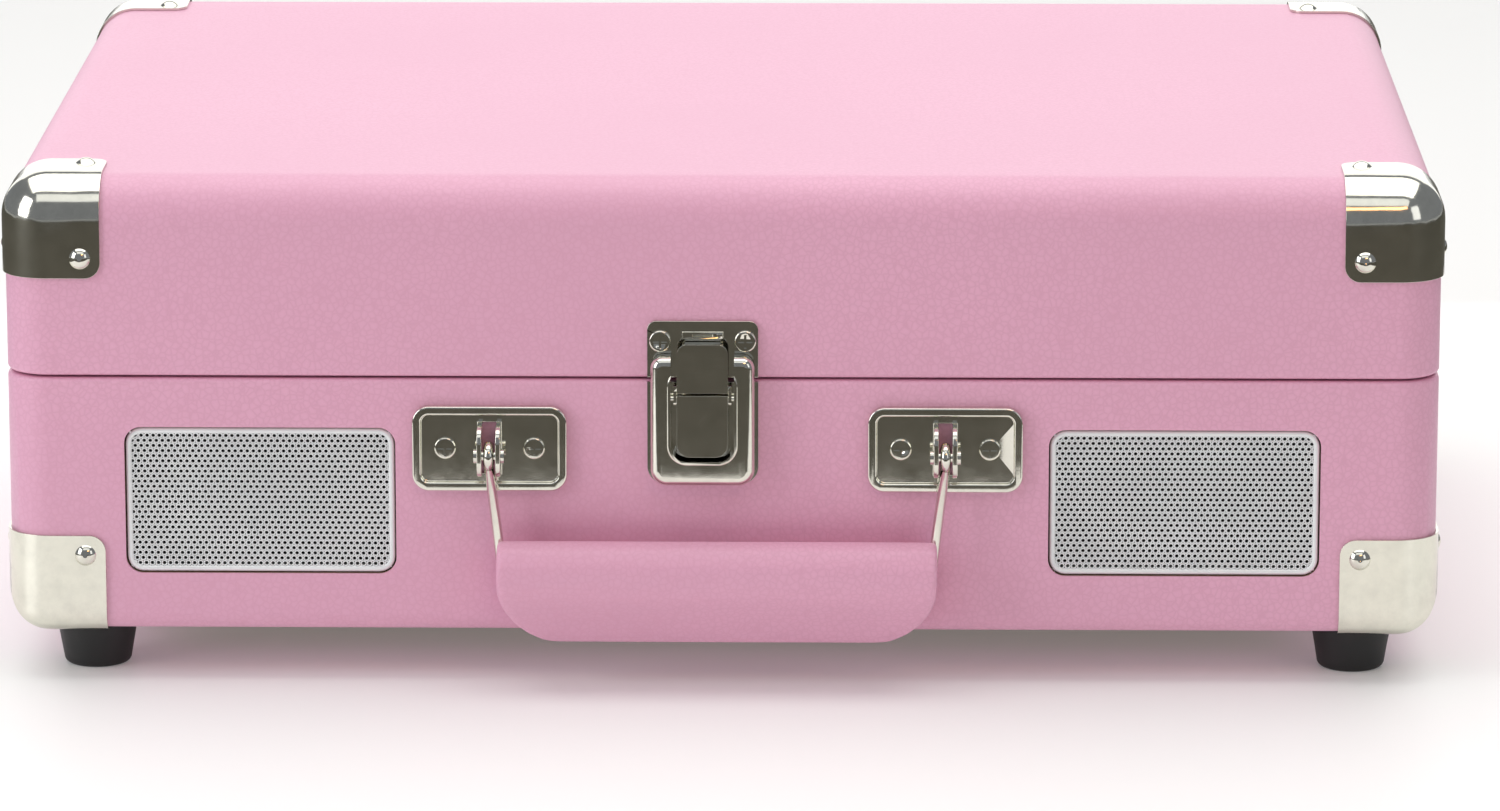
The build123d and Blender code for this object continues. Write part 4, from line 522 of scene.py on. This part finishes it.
even_mesh(grip)
shape_grip_ends(grip.data.vertices)
fill_sleeve(grip)
even_skin = grip.modifiers.new("even_skin", "SMOOTH")
even_skin.factor = 0.5
even_skin.iterations = 5
smooth_skin = grip.modifiers.new("skin", "SUBSURF")
smooth_skin.levels = 1
smooth_skin.render_levels = 1
for polygon in grip.data.polygons:
    polygon.use_smooth = True
set_material(grip, pink)
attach(grip, "handle")
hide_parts("handle_grip")


# ---- Deck
# One moulding in warm white plastic with a fine spark texture; it closes the base over the works.
deck_plastic = moulded("deck_plastic", (0.74, 0.70, 0.68), 0.48, 1500.0, 0.00003)
softened("deck_plate", deck_plastic)
black_satin = moulded("black_plastic", (0.02, 0.02, 0.021), 0.36, 1900.0, 0.00001)
for node, rounding in (
    ("single_adapter", 0.0), ("arm_base", 0.0004), ("arm_rest", 0.0003), ("arm_clip", 0.0002),
    ("cue_lifter", 0.0004), ("cue_lever", 0.0003), ("volume_knob", 0.0003), ("tone_knob", 0.0003),
    ("speed_switch", 0.0002), ("autostop_switch", 0.0002), ("phones_jack", 0.0003),
    ("rear_panel", 0.0003), ("aux_jack", 0.0002), ("power_inlet", 0.0002),
):
    softened(node, black_satin, rounding)


# ---- Platter, mat and spindle
# Moulded black platter with a polished steel spindle pressed in; a felt mat lies on it.
platter_plastic = moulded("platter_plastic", (0.018, 0.018, 0.019), 0.3, 1900.0, 0.00001)
softened("platter", platter_plastic, 0.0004)
steel = plated("turned_steel", (0.72, 0.72, 0.72), 0.16, 0.00002)
softened("spindle", steel)
brass = plated("turned_brass", (0.78, 0.58, 0.28), 0.2, 0.00002)
for node in ("spindle_bearing", "motor_pulley", "line_out_jacks"):
    softened(node, brass)
belt_rubber = moulded("belt_rubber", (0.02, 0.02, 0.02), 0.7)
softened("drive_belt", belt_rubber)


def felt(name, colour):
    """Pressed felt: a short nap over loose tufts."""
    material, tree, shader = new_finish(name, colour, 0.95)
    place = object_place(tree)
    nap = add(tree, "ShaderNodeTexNoise", Scale=2400.0, Detail=6.0, Roughness=0.7)
    tree.links.new(place, nap.inputs["Vector"])
    tufts = add(tree, "ShaderNodeTexNoise", Scale=300.0, Detail=3.0)
    tree.links.new(place, tufts.inputs["Vector"])
    bump = relief(tree, tufts.outputs["Fac"], 0.0002, 0.5)
    tree.links.new(relief(tree, nap.outputs["Fac"], 0.0001, 0.8, bump), shader.inputs["Normal"])
    light = tuple(c * 1.6 for c in colour)
    tree.links.new(ramp(tree, nap.outputs["Fac"], [(0.35, colour), (0.7, light)]), shader.inputs["Base Color"])
    shader.inputs["Sheen Weight"].default_value = 0.4
    return material


mat_low, mat_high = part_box("slipmat")
mat_centre = (mat_low + mat_high) / 2
MAT_RADIUS = (mat_high.x - mat_low.x) / 2
MAT_HOLE = 0.0039            # radius
MAT_RINGS = 24
MAT_SPOKES = 96
mat_work = bmesh.new()
radii = [MAT_HOLE + (MAT_RADIUS - MAT_HOLE) * ring / MAT_RINGS for ring in range(MAT_RINGS + 1)]
spoke = [mat_work.verts.new((mat_centre.x + radius, mat_centre.y, 0)) for radius in radii]
spoke_edges = [mat_work.edges.new(pair) for pair in zip(spoke, spoke[1:])]
bmesh.ops.spin(
    mat_work, geom=spoke + spoke_edges, cent=(mat_centre.x, mat_centre.y, 0), axis=(0, 0, 1), angle=math.tau,
    steps=MAT_SPOKES, use_merge=True,
)
for vert in mat_work.verts:
    vert.co.z = (mat_low.z + mat_high.z) / 2
bmesh.ops.recalc_face_normals(mat_work, faces=mat_work.faces)
slipmat = link_mesh("slipmat_felt", mat_work, felt("mat_felt", (0.03, 0.028, 0.03)))
thickness = slipmat.modifiers.new("felt", "SOLIDIFY")
thickness.thickness = mat_high.z - mat_low.z
thickness.offset = 0.0
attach(slipmat, "platter")
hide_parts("slipmat")


# ---- Tonearm
# Drawn aluminium tube, cranked towards the stylus, in a moulded yoke; moulded shell and cartridge.
aluminium = plated("drawn_aluminium", (0.84, 0.84, 0.85), 0.24, 0.00001)
softened("tonearm", aluminium, 0.0002)
arm_gloss = moulded("arm_gloss", (0.02, 0.02, 0.02), 0.18, 1900.0, 0.000004)
for node in ("arm_yoke", "cartridge"):
    softened(node, arm_gloss, 0.0003)
lamp_red, _, lamp_shader = new_finish("lamp_red", (0.55, 0.02, 0.015), 0.12)
lamp_shader.inputs["Transmission Weight"].default_value = 0.5
dress("indicator_lamp", lamp_red)
laminate = moulded("board_laminate", (0.02, 0.12, 0.05), 0.4)
dress("circuit_board", laminate)


# ---- Studio
# A white table that runs far back, broad softboxes overhead and behind, smaller ones in front and at
# the sides, and a small warm lamp, in a dim room, so that the plating shows dark and bright bands.
TABLE_HALF = 6.0
floor_work = bmesh.new()
bmesh.ops.create_grid(floor_work, x_segments=2, y_segments=2, size=TABLE_HALF)
floor_finish, _, floor_shader = new_finish("white_table", (0.86, 0.86, 0.85), 0.5)
floor_shader.inputs["Emission Color"].default_value = (1.0, 1.0, 1.0, 1)
floor_shader.inputs["Emission Strength"].default_value = 0.12
floor = link_mesh("table_top", floor_work, floor_finish)
# A dark card lies round the case, and shows only as a dark band in the plating.
CARD_GAP = 0.19
CARD_SPREAD = (5.0, 6.0, 1)  # the outer edge, as a multiple of the inner
CARD_HEIGHT = 0.003
card_work = bmesh.new()
bmesh.ops.create_grid(card_work, x_segments=1, y_segments=1, size=1.0)
case_low, case_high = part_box("base_covering")
inner_x, inner_y = (case_high.x - case_low.x) / 2 + CARD_GAP, (case_high.y - case_low.y) / 2 + CARD_GAP
bmesh.ops.scale(card_work, vec=(inner_x, inner_y, 1), verts=card_work.verts)
outer = bmesh.ops.extrude_edge_only(card_work, edges=card_work.edges)
bmesh.ops.delete(card_work, geom=[card_work.faces[:][0]], context="FACES_ONLY")
outer_verts = [item for item in outer["geom"] if isinstance(item, bmesh.types.BMVert)]
bmesh.ops.scale(card_work, vec=CARD_SPREAD, verts=outer_verts)
card_shift = (0, (case_low.y + case_high.y) / 2, CARD_HEIGHT)
bmesh.ops.translate(card_work, verts=card_work.verts, vec=card_shift)
card_finish, _, _ = new_finish("black_card", (0.062, 0.057, 0.043), 0.9)
card = link_mesh("black_card", card_work, card_finish)
card.visible_camera = False
card.visible_diffuse = False
card.visible_shadow = False


def softbox(name, place, aim, width, height, power, colour=(1.0, 1.0, 1.0)):
    """A lit panel that faces a point; the camera doesn't see it."""
    light = bpy.data.lights.new(name, "AREA")
    light.shape = "RECTANGLE"
    light.size = width
    light.size_y = height
    light.energy = power
    light.color = colour
    lamp = bpy.data.objects.new(name, light)
    bpy.context.scene.collection.objects.link(lamp)
    lamp.location = place
    lamp.rotation_euler = (Vector(aim) - Vector(place)).to_track_quat("-Z", "Y").to_euler()
    lamp.visible_camera = False


softbox("softbox_top", (0.0, 0.25, 1.5), (0.0, 0.05, 0.1), 2.2, 1.8, 25.0, (1.0, 0.985, 0.95))
softbox("softbox_back", (0.0, 2.4, 0.8), (0.0, 0.0, 0.1), 3.2, 1.5, 18.0, (1.0, 0.985, 0.95))
softbox("softbox_front", (0.0, -1.15, 1.5), (0.0, -0.1, 0.08), 1.8, 0.6, 3.0)
softbox("softbox_left", (-1.6, -0.9, 0.75), (0.0, 0.0, 0.06), 0.9, 1.3, 12.0, (0.97, 0.97, 1.0))
softbox("softbox_right", (1.4, -1.3, 0.75), (0.0, 0.0, 0.06), 0.6, 1.0, 2.0, (0.97, 0.97, 1.0))
softbox("warm_lamp", (0.4, -1.3, 1.0), (0.0, -0.1, 0.06), 0.5, 0.15, 1.2, (1.0, 0.50, 0.18))
world = bpy.data.worlds.new("room")
bpy.context.scene.world = world
world.use_nodes = True
sky = world.node_tree.nodes["Background"]
sky.inputs["Color"].default_value = (0.86, 0.90, 1.0, 1)
sky.inputs["Strength"].default_value = 0.24

# The photograph's camera, from the fit to the case's corners.
CAMERA_PLACE = (0.0331, -1.8982, 0.4812)
CAMERA_LENS = 176.8          # mm, on a sensor 36 mm wide
CAMERA_DOWN = 13.04          # degrees
CAMERA_TURN = 0.846          # degrees
camera_data = bpy.data.cameras.new("camera")
camera_data.sensor_width = 36.0
camera_data.lens = CAMERA_LENS
camera_data.clip_start = 0.05
camera_data.clip_end = 50.0
camera = bpy.data.objects.new("camera", camera_data)
bpy.context.scene.collection.objects.link(camera)
camera.location = CAMERA_PLACE
camera.rotation_euler = (math.radians(90 - CAMERA_DOWN), 0.0, math.radians(CAMERA_TURN))
bpy.context.scene.camera = camera
bpy.context.scene.view_settings.view_transform = "Standard"
